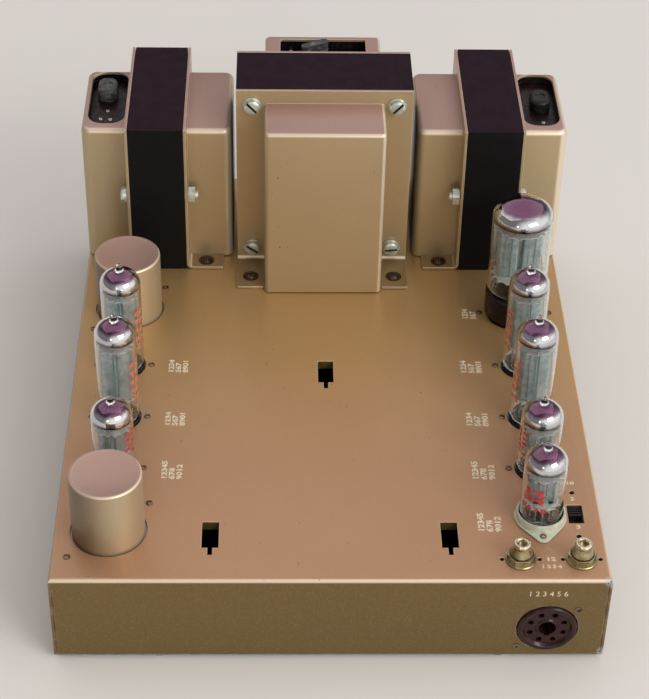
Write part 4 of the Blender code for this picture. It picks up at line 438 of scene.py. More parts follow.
def pointed(radius, tooth, count):
    """A disc's outline with sharp teeth, every second one shorter."""
    points = []
    for step in range(count):
        tall = tooth if step % 2 else SHORT_TOOTH_SHARE * tooth
        for along, out in TOOTH_SHARES:
            turn = 2 * math.pi * (step + along) / count
            reach = radius + out * tall
            points.append((reach * math.cos(turn), reach * math.sin(turn)))
    return points


def pin_places(diameter, places, count):
    """Places of pins around an axis, with the free place at the back."""
    step = 2 * math.pi / places
    first = math.pi / 2 + (step / 2 if count == places else step)
    turns = [first + step * number for number in range(count)]
    return [(diameter / 2 * math.cos(a), diameter / 2 * math.sin(a)) for a in turns]


NOVAL_PINS = pin_places(NOVAL_PIN_CIRCLE, NOVAL_PIN_PLACES, NOVAL_PIN_PLACES - 1)
OCTAL_PINS = pin_places(OCTAL_PIN_CIRCLE, OCTAL_PIN_PLACES, OCTAL_PIN_PLACES)


def scaled(shares, radius, height, base=0.0):
    """An outline given in shares, at its real size."""
    return [(radius * across, base + height * along) for across, along in shares]


def dome(radius, height, base, crown, steps=DOME_STEPS):
    """Points of an elliptical dome, from its crown's radius down to its shoulder."""
    first = math.acos(crown / radius) if crown else math.pi / 2
    turns = [first * (1 - step / steps) for step in range(steps + 1)]
    return [(radius * math.cos(a) if a < math.pi / 2 else 0.0, base + height * math.sin(a)) for a in turns]


# Meshes

class Shape:
    """A mesh being built in one sub-assembly's own axes."""

    def __init__(self, at=None):
        self.bm = bmesh.new()
        self.at = at or Matrix()

    def loft(self, rings, looped=False, inward=False):
        """Skins rings of points; a ring of one point closes an end, and open ends are capped."""
        rings = [[self.bm.verts.new(spot) for spot in ring] for ring in rings]
        pairs = list(zip(rings, rings[1:])) + ([(rings[-1], rings[0])] if looped else [])
        faces = []
        for near, far in pairs:
            steps = max(len(near), len(far))
            for i in range(steps):
                j = (i + 1) % steps
                corners = (near[i % len(near)], near[j % len(near)], far[j % len(far)], far[i % len(far)])
                faces.append(self.bm.faces.new(dict.fromkeys(corners)))
        if not looped:
            faces += [self.bm.faces.new(ring) for ring in (rings[0], rings[-1]) if len(ring) > 2]
        bmesh.ops.recalc_face_normals(self.bm, faces=faces)
        if inward:
            bmesh.ops.reverse_faces(self.bm, faces=faces)
        return self

    def prism(self, outline, low, high, axis="z"):
        """An outline pushed along an axis."""
        return self.loft([[placed(axis, along, a, b) for a, b in outline] for along in (low, high)])

    def block(self, low, high):
        """A box between two corners."""
        (x, y, z), (far_x, far_y, far_z) = low, high
        return self.prism(rectangle(far_x - x, far_y - y, ((x + far_x) / 2, (y + far_y) / 2)), z, far_z)

    def turned(self, profile, steps=ROUND, centre=(0.0, 0.0, 0.0), axis="z", looped=False, inward=False):
        """A profile of radii and places along an axis, turned about it."""
        rings = []
        for radius, along in profile:
            spots = circle(2 * radius, steps) if radius > 0 else [(0.0, 0.0)]
            rings.append([Vector(placed(axis, along, a, b)) + Vector(centre) for a, b in spots])
        return self.loft(rings, looped, inward)

    def wire(self, path, diameter):
        """A round wire along a path."""
        path = [Vector(spot) for spot in path]
        rings = []
        for i, spot in enumerate(path):
            ahead = path[min(i + 1, len(path) - 1)] - path[max(i - 1, 0)]
            turn = ahead.to_track_quat("Z", "X")
            rings.append([spot + turn @ Vector((a, b, 0.0)) for a, b in circle(diameter, SMALL // 2)])
        return self.loft(rings)

    def bevel(self, picks, radius, steps=CORNER):
        """Rounds the edges that a test picks."""
        edges = [edge for edge in self.bm.edges if picks(*(v.co for v in edge.verts))]
        settings = {"segments": steps, "profile": 0.5, "affect": "EDGES", "clamp_overlap": True}
        bmesh.ops.bevel(self.bm, geom=edges, offset=radius, **settings)
        return self

    def mesh(self, name):
        """The mesh so far, still in its own axes."""
        mesh = bpy.data.meshes.new(name)
        self.bm.to_mesh(mesh)
        self.bm.free()
        return mesh


def placed(axis, along, a, b):
    """A point in space from a place along an axis and two across it."""
    return {"x": (along, a, b), "y": (a, along, b), "z": (a, b, along)}[axis]


def at_height(height):
    """A test for edges that lie wholly at a height."""
    return lambda a, b: abs(a.z - height) < MERGE and abs(b.z - height) < MERGE


def evaluated(item):
    """An object's mesh with its modifiers applied."""
    graph = bpy.context.evaluated_depsgraph_get()
    return bpy.data.meshes.new_from_object(item.evaluated_get(graph))


def combined(mesh, shape, operation):
    """A mesh with a shape cut out of it or joined to it, both in the same axes."""
    link = bpy.context.scene.collection.objects.link
    item = bpy.data.objects.new("work", mesh)
    tool = bpy.data.objects.new("tool", shape.mesh("tool"))
    link(item)
    link(tool)
    modifier = item.modifiers.new("combine", "BOOLEAN")
    modifier.operation = operation
    modifier.object = tool
    made = evaluated(item)
    bpy.data.objects.remove(item)
    bpy.data.objects.remove(tool)
    return made


def finished(mesh, finish, at=None):
    """A mesh moved into the frame's axes, shaded and given its finish."""
    if at:
        mesh.transform(at)
    mesh.materials.clear()
    mesh.materials.append(finish)
    mesh.shade_smooth()
    mesh.set_sharp_from_angle(angle=SMOOTH_ANGLE)
    return mesh


def sculpt(shape, finish, adds=(), cuts=()):
    """A finished mesh, after shapes are joined to it and cut out of it."""
    mesh = shape.mesh("sculpted")
    for add in adds:
        mesh = combined(mesh, add, "UNION")
    for hole in cuts:
        mesh = combined(mesh, hole, "DIFFERENCE")
    return finished(mesh, finish, shape.at)


def soften_edges(item, width):
    """Rounds an object's sharp edges."""
    modifier = item.modifiers.new("soften", "BEVEL")
    modifier.width = width
    modifier.segments = 2
    modifier.angle_limit = SMOOTH_ANGLE
    modifier.use_clamp_overlap = False
    modifier.harden_normals = True


def put(name, mesh, body="amplifier", replaces=(), soften=0.0, shift=None):
    """An object that rides a body and may stand for CAD nodes."""
    if shift is not None:
        mesh = mesh.copy()
        mesh.transform(Matrix.Translation(shift))
    mesh.name = name
    item = bpy.data.objects.new(name, mesh)
    bpy.context.scene.collection.objects.link(item)
    if soften:
        soften_edges(item, soften)
    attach(item, body)
    if replaces:
        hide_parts(*replaces)
    return item


def piece(name, shape, finish, body="amplifier", adds=(), cuts=(), replaces=(), soften=0.0):
    """A sculpted mesh put in its place."""
    return put(name, sculpt(shape, finish, adds, cuts), body, replaces, soften)


def span(node):
    """The corners and the middle of a node's box."""
    low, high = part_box(node)
    return low, high, (low + high) / 2


def middle(node):
    """The middle of a node's box."""
    return span(node)[2]


# Materials

def tone(red, green, blue):
    """A colour from display values of 0 to 255."""
    shares = [value / 255 for value in (red, green, blue)]
    return (*[s / 12.92 if s <= 0.04045 else ((s + 0.055) / 1.055) ** 2.4 for s in shares], 1.0)


class Nodes:
    """A node tree under construction. Each call adds a node and returns its output."""

    def __init__(self, tree):
        self.tree = tree

    def add(self, kind, output=0, settings=None, **inputs):
        """A node with its settings and its inputs, linked or set."""
        node = self.tree.nodes.new("ShaderNode" + kind)
        for key, value in (settings or {}).items():
            setattr(node, key, value)
        for key, value in inputs.items():
            self.feed(node.inputs[key.replace("_", " ")], value)
        return node.outputs[output]

    def feed(self, socket, value):
        """Links a socket to another node, or sets it."""
        if isinstance(value, bpy.types.NodeSocket):
            self.tree.links.new(value, socket)
        else:
            socket.default_value = value

    def work(self, kind, settings, places, values):
        """A node whose inputs are told apart by their places."""
        node = self.add(kind, 0, settings).node
        for place, value in zip(places, values):
            self.feed(node.inputs[place], value)
        return node

    def math(self, operation, *values):
        """A sum of its values, kept between 0 and 1."""
        settings = {"operation": operation, "use_clamp": True}
        return self.work("Math", settings, range(3), values).outputs[0]

    def vector(self, operation, *values):
        """A number made from two vectors."""
        return self.work("VectorMath", {"operation": operation}, range(2), values).outputs["Value"]

    def mix(self, factor, first, second, way="MIX"):
        """One colour blended into another."""
        settings = {"data_type": "RGBA", "blend_type": way}
        return self.work("Mix", settings, (0, 6, 7), (factor, first, second)).outputs[2]

    def band(self, value, low, high, bottom=0.0, top=1.0):
        """A value eased from bottom to top as it goes from low to high."""
        settings = {"interpolation_type": "SMOOTHSTEP"}
        places = {"From_Min": low, "From_Max": high, "To_Min": bottom, "To_Max": top}
        return self.add("MapRange", 0, settings, Value=value, **places)


class Finish(Nodes):
    """A material under construction."""

    def __init__(self, name, slot):
        self.material = bpy.data.materials.new(name)
        self.material.use_nodes = True
        self.material["slot"] = slot
        super().__init__(self.material.node_tree)
        self.shader = self.tree.nodes["Principled BSDF"]
        self.place = self.add("TexCoord", "Object")
        self.share = self.add("TexCoord", "Generated")
        self.normal = self.add("NewGeometry", "Normal")

    def noise(self, size, detail=2.0, stretch=(1.0, 1.0, 1.0), rough=0.5):
        """Noise whose features have about the given size."""
        vector = self.add("Mapping", 0, None, Vector=self.place, Scale=stretch)
        return self.add("TexNoise", 0, None, Vector=vector, Scale=1 / size, Detail=detail, Roughness=rough)

    def coordinate(self, axis, vector=None):
        """One coordinate of a place or a direction."""
        return self.add("SeparateXYZ", axis, None, Vector=vector or self.place)

    def near(self, spot, radius, ragged):
        """1 at a spot, falling to 0 at a radius that noise makes ragged."""
        gap = self.vector("DISTANCE", self.place, spot)
        worn = self.math("MULTIPLY_ADD", ragged, radius, gap)
        return self.band(worn, radius, radius * 1.6, 1.0, 0.0)

    def edges(self, radius, ragged):
        """1 along the mesh's outer edges, broken up by noise."""
        softened = self.add("Bevel", 0, {"samples": 4}, Radius=radius)
        flat = self.vector("DOT_PRODUCT", self.normal, softened)
        flat = self.math("SUBTRACT", flat, self.math("MULTIPLY", ragged, 0.16))
        return self.band(flat, 0.6, 0.85, 1.0, 0.0)

    def bump(self, height, distance, strength=1.0, under=None):
        """A bumped normal."""
        inputs = {"Height": height, "Distance": distance, "Strength": strength}
        if under:
            inputs["Normal"] = under
        return self.add("Bump", 0, None, **inputs)

    def done(self, **inputs):
        """Feeds the shader and gives back the material."""
        for key, value in inputs.items():
            self.feed(self.shader.inputs[key.replace("_", " ")], value)
        return self.material


def painted_bend_highlight(f, across, corner):
    """A painted highlight on the paint's bends, strongest where they face right, and on upright corners
    there.
    """
    height = f.coordinate("Z", f.normal)
    bend = f.math("MULTIPLY", f.band(height, 0.12, 0.45), f.band(height, 0.86, 0.99, 0.85, 0.0))
    bend = f.math("MULTIPLY", bend, f.band(across, -0.8, 0.3, 0.35, 1.0))
    along = f.math("ABSOLUTE", f.coordinate("Y", f.normal))
    upright = f.band(f.math("MULTIPLY", across, along), 0.15, 0.42, 0.0, corner)
    return f.math("MAXIMUM", bend, upright)


def chipped(f, colour, rubbed, worn):
    """The paint with worn spots down to the metal, and with dark specks and chips."""
    specks = f.band(f.noise(PEEL, 2.0, rough=0.6), 0.755, 0.775, 0.0, 0.7)
    chips = f.math("MULTIPLY", f.band(f.noise(STAIN, 3.0), 0.68, 0.72), rubbed)
    chips = f.math("MAXIMUM", specks, chips)
    for spot, radius in worn:
        patch = f.near(spot, radius, f.noise(STAIN, 3.0))
        colour = f.mix(f.math("MULTIPLY", patch, 0.7), colour, tone(186, 190, 188))
        flakes = f.math("MULTIPLY", patch, f.band(f.noise(FLAKE), 0.55, 0.62))
        chips = f.math("MAXIMUM", chips, flakes)
    return f.mix(chips, colour, tone(56, 42, 34))


def gold_paint(name, top, side, far=None, reflection_fade=None, worn=(), corner=0.0, left_shade=0.0):
    """Satin metallic paint: a painted pink reflection where it faces up, painted light and shade on its
    sides and, where set, painted shade on faces turned left, and pale edges from wear and a painted
    highlight.
    """
    f = Finish(name, "gold_paint")
    # Upward faces take the top tone and upright faces the side tone: the pink of the tops is a painted
    # reflection, the sides' lighter or darker tone painted light and shade.
    up = f.band(f.coordinate("Z", f.normal), 0.3, 0.97)
    across = f.coordinate("X", f.normal)
    # Along an axis the top tone blends into the far tone: a painted change of reflection and shade, less
    # pink towards the tray's rear, darker and less pink low on the covers' feet.
    if far:
        axis, first, last = reflection_fade
        top = f.mix(f.band(f.coordinate(axis), first, last), top, far)
    # Faces turned to the left are darkened towards brown: painted shade.
    side = f.mix(f.band(across, -0.9, 0.5, left_shade, 0.0), side, tone(84, 56, 30))
    colour = f.mix(up, side, top)
    cloudy = f.mix(1.0, colour, tone(214, 198, 176), "MULTIPLY")
    colour = f.mix(f.band(f.noise(CLOUD, 3.0), 0.3, 0.7, 0.0, 0.1), colour, cloudy)
    colour = f.mix(f.band(f.noise(DUSTING, 1.0), 0.5, 0.75, 0.0, 0.08), colour, tone(226, 200, 168))
    rubbed = f.edges(EDGE_WEAR_AND_HIGHLIGHT, f.noise(STAIN, 4.0))
    # Edges paled towards cream in patches: partly worn paint, partly a painted highlight.
    worn_edge_highlight = f.math("MULTIPLY", rubbed, f.band(f.noise(PATCH, 3.0), 0.42, 0.62, 0.1, 0.8))
    colour = f.mix(worn_edge_highlight, colour, tone(226, 208, 182))
    # Bends and upright corners paled towards cream: a painted highlight.
    colour = f.mix(painted_bend_highlight(f, across, corner), colour, tone(236, 220, 194))
    colour = chipped(f, colour, rubbed, worn)
    rough = f.band(f.noise(PEEL, 3.0), 0.3, 0.75, 0.39, 0.42)
    normal = f.bump(f.noise(GRAIN, 1.0), FINE_RELIEF, 0.25)
    f.done(Coat_Weight=0.2, Coat_Roughness=0.22)
    return f.done(Base_Color=colour, Roughness=rough, Metallic=0.5, Normal=normal)


def black_lacquer():
    """Satin black over the edges of thin stacked sheets, with a painted purple reflection where it faces up.
    """
    f = Finish("black_lacquer", "black_lacquer")
    # Upward faces turn purple: a painted reflection.
    up = f.band(f.coordinate("Z", f.normal), 0.4, 0.95)
    colour = f.mix(up, tone(20, 20, 21), tone(30, 8, 23))
    colour = f.mix(f.band(f.noise(STAIN, 4.0), 0.5, 0.8, 0.0, 0.12), colour, tone(46, 40, 42))
    rub = f.edges(WIDE_RUB, f.noise(STAIN, 3.0))
    colour = f.mix(f.math("MULTIPLY", rub, 0.3), colour, tone(112, 100, 96))
    rough = f.band(f.noise(PATCH, 3.0), 0.3, 0.7, 0.38, 0.48)
    sheets = f.bump(f.noise(GRAIN, 1.0, (1.0, 1.0, 0.02)), DEEP_RELIEF, 0.25)
    normal = f.bump(f.noise(FLAKE, 3.0), SOFT_RELIEF, 0.35, sheets)
    return f.done(Base_Color=colour, Roughness=rough, Specular_IOR_Level=0.1, Normal=normal)


def metal(name, slot, pale, dark, roughness, grime=0.3, metallic=1.0):
    """Plated or unplated metal with a dull film, fine scratches and dark grime in patches."""
    f = Finish(name, slot)
    colour = f.mix(f.band(f.noise(STAIN, 4.0), 0.35, 0.68), pale, dark)
    rub = f.edges(NARROW_RUB, f.noise(FLAKE, 2.0))
    colour = f.mix(f.math("MULTIPLY", rub, 0.5), colour, tone(238, 234, 222))
    colour = f.mix(f.band(f.noise(FLAKE, 3.0), 0.56, 0.68, 0.0, grime), colour, tone(72, 58, 44))
    rough = f.band(f.noise(FLAKE, 3.0), 0.25, 0.75, roughness * 0.75, roughness * 1.35)
    normal = f.bump(f.noise(GRAIN, 2.0, (1.0, 1.0, 0.15)), SOFT_RELIEF, 0.12)
    return f.done(Base_Color=colour, Roughness=rough, Metallic=metallic, Normal=normal)


def moulding(name, slot, base, swirl, roughness, shine=0.25):
    """Pressed bakelite with a faint swirl and rubbed edges."""
    f = Finish(name, slot)
    colour = f.mix(f.band(f.noise(STAIN, 5.0, (1.0, 1.0, 2.0), 0.6), 0.45, 0.75), base, swirl)
    rub = f.edges(NARROW_RUB, f.noise(PEEL, 2.0))
    colour = f.mix(f.math("MULTIPLY", rub, 0.25), colour, f.mix(1.0, swirl, tone(150, 130, 120), "SCREEN"))
    rough = f.band(f.noise(PEEL, 3.0), 0.3, 0.7, roughness * 0.8, roughness * 1.5)
    normal = f.bump(f.noise(FLAKE, 3.0), FINE_RELIEF, 0.6)
    return f.done(Base_Color=colour, Roughness=rough, Specular_IOR_Level=shine, Normal=normal)


def clear_glass():
    """Blown glass with faint ripples and finger marks."""
    f = Finish("valve_glass", "glass")
    smear = f.band(f.noise(STAIN, 4.0, (1.0, 1.0, 0.4)), 0.52, 0.72, 0.0, 0.1)
    colour = f.mix(f.band(f.noise(PATCH), 0.3, 0.7), tone(250, 252, 252), tone(242, 248, 248))
    normal = f.bump(f.noise(PATCH, 1.0), DEEP_RELIEF, 0.25)
    return f.done(Base_Color=colour, Roughness=smear, Transmission_Weight=1.0, IOR=1.47, Normal=normal)


def getter_mirror():
    """The bright film inside a dome, with a painted purple reflection near its crown, and a dark lower rim
    that is partly the film's thin brown edge and partly a painted dark reflection.
    """
    f = Finish("getter_mirror", "glass")
    height = f.math("MULTIPLY_ADD", f.noise(PEEL, 2.0), 0.12, f.coordinate("Z", f.share))
    # Dark low on the film and bright above: the dark rim is partly the thin brown edge of the film, partly a
    # painted dark reflection.
    colour = f.mix(f.band(height, 0.14, 0.36), tone(30, 20, 20), tone(222, 218, 220))
    # Purple near the crown: a painted reflection.
    colour = f.mix(f.band(height, 0.66, 0.84), colour, tone(122, 58, 102))
    rough = f.band(f.noise(STAIN, 3.0), 0.3, 0.7, 0.02, 0.07)
    normal = f.bump(f.noise(PATCH, 1.0), DEEP_RELIEF, 0.2)
    return f.done(Base_Color=colour, Roughness=rough, Metallic=1.0, Normal=normal)


def layered(name, slot, pale, dark, low, high, stretch=(1.0, 1.0, 1.0)):
    """A dull finish that runs between two tones in streaks."""
    f = Finish(name, slot)
    streak = f.noise(FLAKE, 4.0, stretch)
    colour = f.mix(f.band(streak, 0.35, 0.7), pale, dark)
    rough = f.band(f.noise(STAIN, 3.0), 0.3, 0.7, low, high)
    return f.done(Base_Color=colour, Roughness=rough, Normal=f.bump(streak, SOFT_RELIEF, 0.6))


def worn_spots(node, places, radii):
    """Worn spots on a node, placed by shares of its box."""
    low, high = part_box(node)
    spots = [tuple(a + (b - a) * share for a, b, share in zip(low, high, place)) for place in places]
    return list(zip(spots, radii))


TRAY_WEAR = worn_spots("chassis", TRAY_SPOT_SHARES, TRAY_SPOT_REACHES)
COVER_WEAR = worn_spots("mains_front_cover", COVER_SPOT_SHARES, COVER_SPOT_REACHES)
# Tones of upward faces, of upright faces and of upward faces at the far end: the pink is a painted
# reflection, the sides' tone painted light and shade.
TRAY_LIT_AND_SHADED_TONES = tone(185, 143, 109), tone(113, 92, 49), tone(191, 155, 104)
COVER_LIT_AND_SHADED_TONES = tone(156, 130, 92), tone(183, 163, 127), tone(176, 143, 134)
CHASSIS_PAINT = gold_paint("chassis_paint", *TRAY_LIT_AND_SHADED_TONES, REAR_REFLECTION_FADE, TRAY_WEAR)
# The covers' last number sets the painted highlight on their upright corners.
COVER_PAINT = gold_paint("cover_paint", *COVER_LIT_AND_SHADED_TONES, FOOT_REFLECTION_FADE, COVER_WEAR, 0.85)
# The cans are darkened on their left-facing sides: painted shade.
CAN_PAINT = gold_paint("can_paint", tone(184, 152, 140), tone(186, 168, 138), left_shade=0.8)
LACQUER = black_lacquer()
ZINC = metal("zinc_plate", "zinc", tone(222, 230, 222), tone(184, 192, 180), 0.34, 0.1, 0.7)
COVER_ZINC = metal("cover_zinc", "zinc", tone(168, 170, 164), tone(134, 136, 132), 0.42, 0.15)
SADDLE_PLATE = metal("saddle_plate", "zinc", tone(216, 220, 204), tone(200, 205, 188), 0.4, 0.03, 0.3)
RUSTY = metal("rusty_screw", "zinc", tone(92, 68, 50), tone(58, 42, 34), 0.45, 0.7, 0.7)
RIVET_METAL = metal("rivet_metal", "zinc", tone(150, 134, 110), tone(92, 76, 58), 0.34, 0.5)
BRASS = metal("dull_brass", "brass", tone(184, 174, 138), tone(138, 126, 88), 0.3, 0.2, 0.85)
CREAM_PLATE = metal("pale_plate", "brass", tone(232, 226, 210), tone(204, 192, 162), 0.22, 0.08)
STEEL = metal("electrode_steel", "electrode_steel", tone(202, 218, 220), tone(166, 184, 188), 0.36, 0.1, 0.3)
BROWN = moulding("brown_bakelite", "brown_bakelite", tone(42, 18, 17), tone(56, 25, 22), 0.16, 0.3)
DARK_BROWN = moulding("dark_bakelite", "brown_bakelite", tone(32, 22, 23), tone(42, 28, 28), 0.3)
MAROON = moulding("maroon_board", "brown_bakelite", tone(24, 8, 14), tone(32, 12, 18), 0.3)
BLACK = moulding("black_bakelite", "black_bakelite", tone(22, 20, 22), tone(38, 35, 38), 0.24)
# Grey moulding; on the voltage knob its paleness paints a highlight.
GREY = moulding("grey_bakelite", "black_bakelite", tone(60, 63, 64), tone(118, 116, 114), 0.26)
GLASS = clear_glass()
MIRROR = getter_mirror()
MICA = layered("mica", "glass", tone(252, 252, 248), tone(226, 226, 220), 0.2, 0.5)
WINDING = layered("winding", "winding", tone(176, 128, 72), tone(118, 74, 38), 0.3, 0.6, (0.02, 1.0, 1.0))
BOARD = layered("board", "board", tone(142, 96, 54), tone(96, 60, 32), 0.35, 0.6, (0.15, 1.0, 1.0))
CREAM_INK = layered("cream_ink", "gold_paint", tone(236, 224, 200), tone(206, 184, 152), 0.45, 0.7)
SALMON_INK = layered("salmon_ink", "glass", tone(226, 128, 96), tone(206, 104, 78), 0.35, 0.6)
RED_INK = layered("red_ink", "glass", tone(206, 62, 62), tone(176, 48, 50), 0.35, 0.6)


# Chassis

CHASSIS_LOW, CHASSIS_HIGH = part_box("chassis")
TOP = CHASSIS_HIGH.z
UNDERSIDE = TOP - SHEET
FRONT = CHASSIS_LOW.y
REAR = CHASSIS_HIGH.y
LEFT_NOVALS = ("left_rear_pentode", "left_front_pentode", "left_triode")
RIGHT_NOVALS = ("right_rear_pentode", "right_front_pentode", "right_triode")
NOVALS = LEFT_NOVALS + RIGHT_NOVALS + ("front_triode",)
CANS = ("rear_capacitor_can", "front_capacitor_can")
PHONOS = ("phono_socket_1", "phono_socket_2")


def keyhole_places():
    """Centres of the three slots."""
    front = FRONT + FRONT_KEYHOLE_ROW
    return [(-KEYHOLE_SPREAD, front), (KEYHOLE_SPREAD, front), (0.0, FRONT + CENTRE_KEYHOLE_ROW)]


def keyhole(x, y):
    """A slot with a narrow stem towards the front."""
    half, stem = KEYHOLE[0] / 2, KEYHOLE_STEM[0] / 2
    front, back = y - KEYHOLE[1] / 2, y + KEYHOLE[1] / 2
    left = [(x - half, back), (x - half, front), (x - stem, front), (x - stem, front - KEYHOLE_STEM[1])]
    return left + [(2 * x - a, b) for a, b in reversed(left)]


def top_holes():
    """Every hole through the top sheet."""
    outlines = [keyhole(x, y) for x, y in keyhole_places()]
    outlines += [circle(NOVAL_HOLE, FINE, middle(name + "_glass").xy) for name in NOVALS]
    outlines += [circle(CAN_HOLE, FINE, middle(name).xy) for name in CANS]
    outlines += [circle(PHONO_HOLE, ROUND, middle(name).xy) for name in PHONOS]
    outlines.append(circle(OCTAL_HOLE, FINE, middle("rectifier_glass").xy))
    switch = middle("slide_switch_body").xy
    outlines.append(rectangle(*SWITCH_SLOT, switch))
    diameter, reach = PHONO_SIDE_HOLE
    for side in (-1, 1):
        outlines.append(circle(SWITCH_SCREW_HOLE, SMALL, (switch.x, switch.y + side * SWITCH_SCREW_REACH)))
        for name in PHONOS:
            centre = middle(name)
            outlines.append(circle(diameter, SMALL, (centre.x + side * reach, centre.y)))
    holes = Shape()
    for outline in outlines:
        holes.prism(outline, UNDERSIDE - OVERRUN, TOP + OVERRUN)
    return holes


def face_holes():
    """The outlet's hole in front, and the inlet's and terminals' holes behind."""
    holes = Shape()
    outlet, inlet = middle("front_outlet_socket"), middle("mains_inlet")
    outline = circle(2 * (OUTLET_RADIUS + GAP), FINE, (outlet.x, outlet.z))
    holes.prism(outline, FRONT - OVERRUN, FRONT + SHEET + OVERRUN, "y")
    low, high = REAR - SHEET - OVERRUN, REAR + OVERRUN
    width, height = INLET_BODY
    holes.prism(rectangle(width + 2 * GAP, height + 2 * GAP, (inlet.x, inlet.z)), low, high, "y")
    for x, z in terminal_places():
        holes.prism(circle(TERMINAL_HOLE, SMALL, (x, z)), low, high, "y")
    return holes


def terminal_places():
    """Centres of the speaker terminals on the rear face."""
    centre = middle("speaker_terminal_strip")
    last = (TERMINAL_COUNT - 1) / 2
    return [(centre.x + (number - last) * TERMINAL_PITCH, centre.z) for number in range(TERMINAL_COUNT)]


def seam_grooves():
    """Grooves where the folded flanges meet at the tray's corners."""
    grooves = Shape()
    for side in (-1, 1):
        edge = side * (CHASSIS_HIGH.x - SHEET)
        low_x, high_x = sorted((edge, edge - side * SEAM_WIDTH))
        for face, inward in ((FRONT, 1), (REAR, -1)):
            low_y, high_y = sorted((face - inward * OVERRUN, face + inward * SEAM_DEPTH))
            grooves.block((low_x, low_y, CHASSIS_LOW.z - OVERRUN), (high_x, high_y, TOP - CHASSIS_BEND))
    return grooves


def keyhole_lips():
    """Lips bent down along the backs of the keyholes."""
    lips = Shape()
    half, low, high = KEYHOLE[0] / 2, UNDERSIDE - KEYHOLE_LIP_DROP, UNDERSIDE + SHEET / 2
    for x, y in keyhole_places():
        back = y + KEYHOLE[1] / 2
        lips.block((x - half, back, low), (x + half, back + SHEET, high))
    return lips


def make_chassis():
    """The folded tray with its holes, lips and seams."""
    low, high, rim = CHASSIS_LOW, CHASSIS_HIGH, CHASSIS_FLANGE
    wall = Vector((SHEET, SHEET, SHEET))
    cavity = Shape().block(low + wall, high - wall)
    cavity.bevel(at_height(UNDERSIDE), CHASSIS_BEND - SHEET, CAVITY_STEPS)
    far = (high.x - rim, high.y - rim, low.z + SHEET + OVERRUN)
    mouth = Shape().block(low + Vector((rim, rim, -OVERRUN)), far)
    tray = Shape().block(low, high).bevel(at_height(TOP), CHASSIS_BEND).mesh("tray")
    steps = [(cavity, "DIFFERENCE"), (mouth, "DIFFERENCE"), (keyhole_lips(), "UNION")]
    steps += [(cut, "DIFFERENCE") for cut in (top_holes(), face_holes(), seam_grooves())]
    for shape, operation in steps:
        tray = combined(tray, shape, operation)
    put("chassis_tray", finished(tray, CHASSIS_PAINT), "amplifier", ("chassis",), SOFT_EDGE)


def rivet(shape, centre, out=1.0, axis="z"):
    """A hollow rivet with a rolled head."""
    shape.turned(scaled(RIVET_SHARES, RIVET_RADIUS, out * RIVET_RISE), SMALL, centre, axis)


def make_rivets():
    """Rivets beside the valves, the cans and the outlet."""
    heads = Shape()
    reaches = [(name + "_glass", NOVAL_RIVET_REACH, 0.0) for name in NOVALS[:-1]]
    reaches += [(name, CAN_RIVET_REACH, CAN_RIVET_REACH) for name in CANS]
    reaches.append(("rectifier_glass", OCTAL_RIVET_REACH, 0.0))
    outlet = middle("front_outlet_socket")
    for side in (-1, 1):
        for name, across, back in reaches:
            centre = middle(name)
            rivet(heads, (centre.x + side * across, centre.y + side * back, TOP))
        across, up = OUTLET_RIVET_REACH
        rivet(heads, (outlet.x + side * across, FRONT, outlet.z + side * up), -1.0, "y")
    piece("top_rivets", heads, RIVET_METAL)


def slotted_head(heads, slots, spot, radius, rise):
    """A round screw head on a flat sheet, and the block that cuts its slot."""
    x, y, seat = spot
    heads.turned(scaled(HEAD_SHARES, radius, rise), ROUND, spot)
    low, high = sorted((seat + rise / 2, seat + 2 * rise))
    slots.block((x - 2 * radius, y - SLOT_HALF, low), (x + 2 * radius, y + SLOT_HALF, high))


def make_bottom():
    """The bottom cover and its screws."""
    dress("bottom_cover", COVER_ZINC, SOFT_EDGE)
    low, high, centre = span("bottom_cover")
    reach = (high - low) / 2 - Vector((COVER_SCREW_INSET, COVER_SCREW_INSET, 0.0))
    radius, rise = COVER_SCREW
    sheet = CHASSIS_LOW.z - GAP - COVER_SHEET
    screws, slots = Shape(), Shape()
    for across, along in COVER_SCREW_SHARES:
        spot = (centre.x + across * reach.x, centre.y + along * reach.y, sheet)
        slotted_head(screws, slots, spot, radius, -rise)
    piece("bottom_screws", screws, ZINC, cuts=[slots])


# Numbers painted on the sheet and the valves

def on_top(x, y, height=TOP):
    """Places paint on the top sheet or a panel, from its middle."""
    return lambda across, up, out: (x + across, y + up, height + out)


def on_face(x, z, face, side):
    """Places paint on the front or the rear face."""
    return lambda across, up, out: (x - side * across, face + side * out, z + up)


def on_glass(centre, base, turn):
    """Places paint around a valve, turned from its front."""
    def place(across, up, out):
        angle = turn + across / NOVAL_RADIUS
        reach = NOVAL_RADIUS + out
        return (centre.x + reach * math.sin(angle), centre.y - reach * math.cos(angle), base + up)
    return place


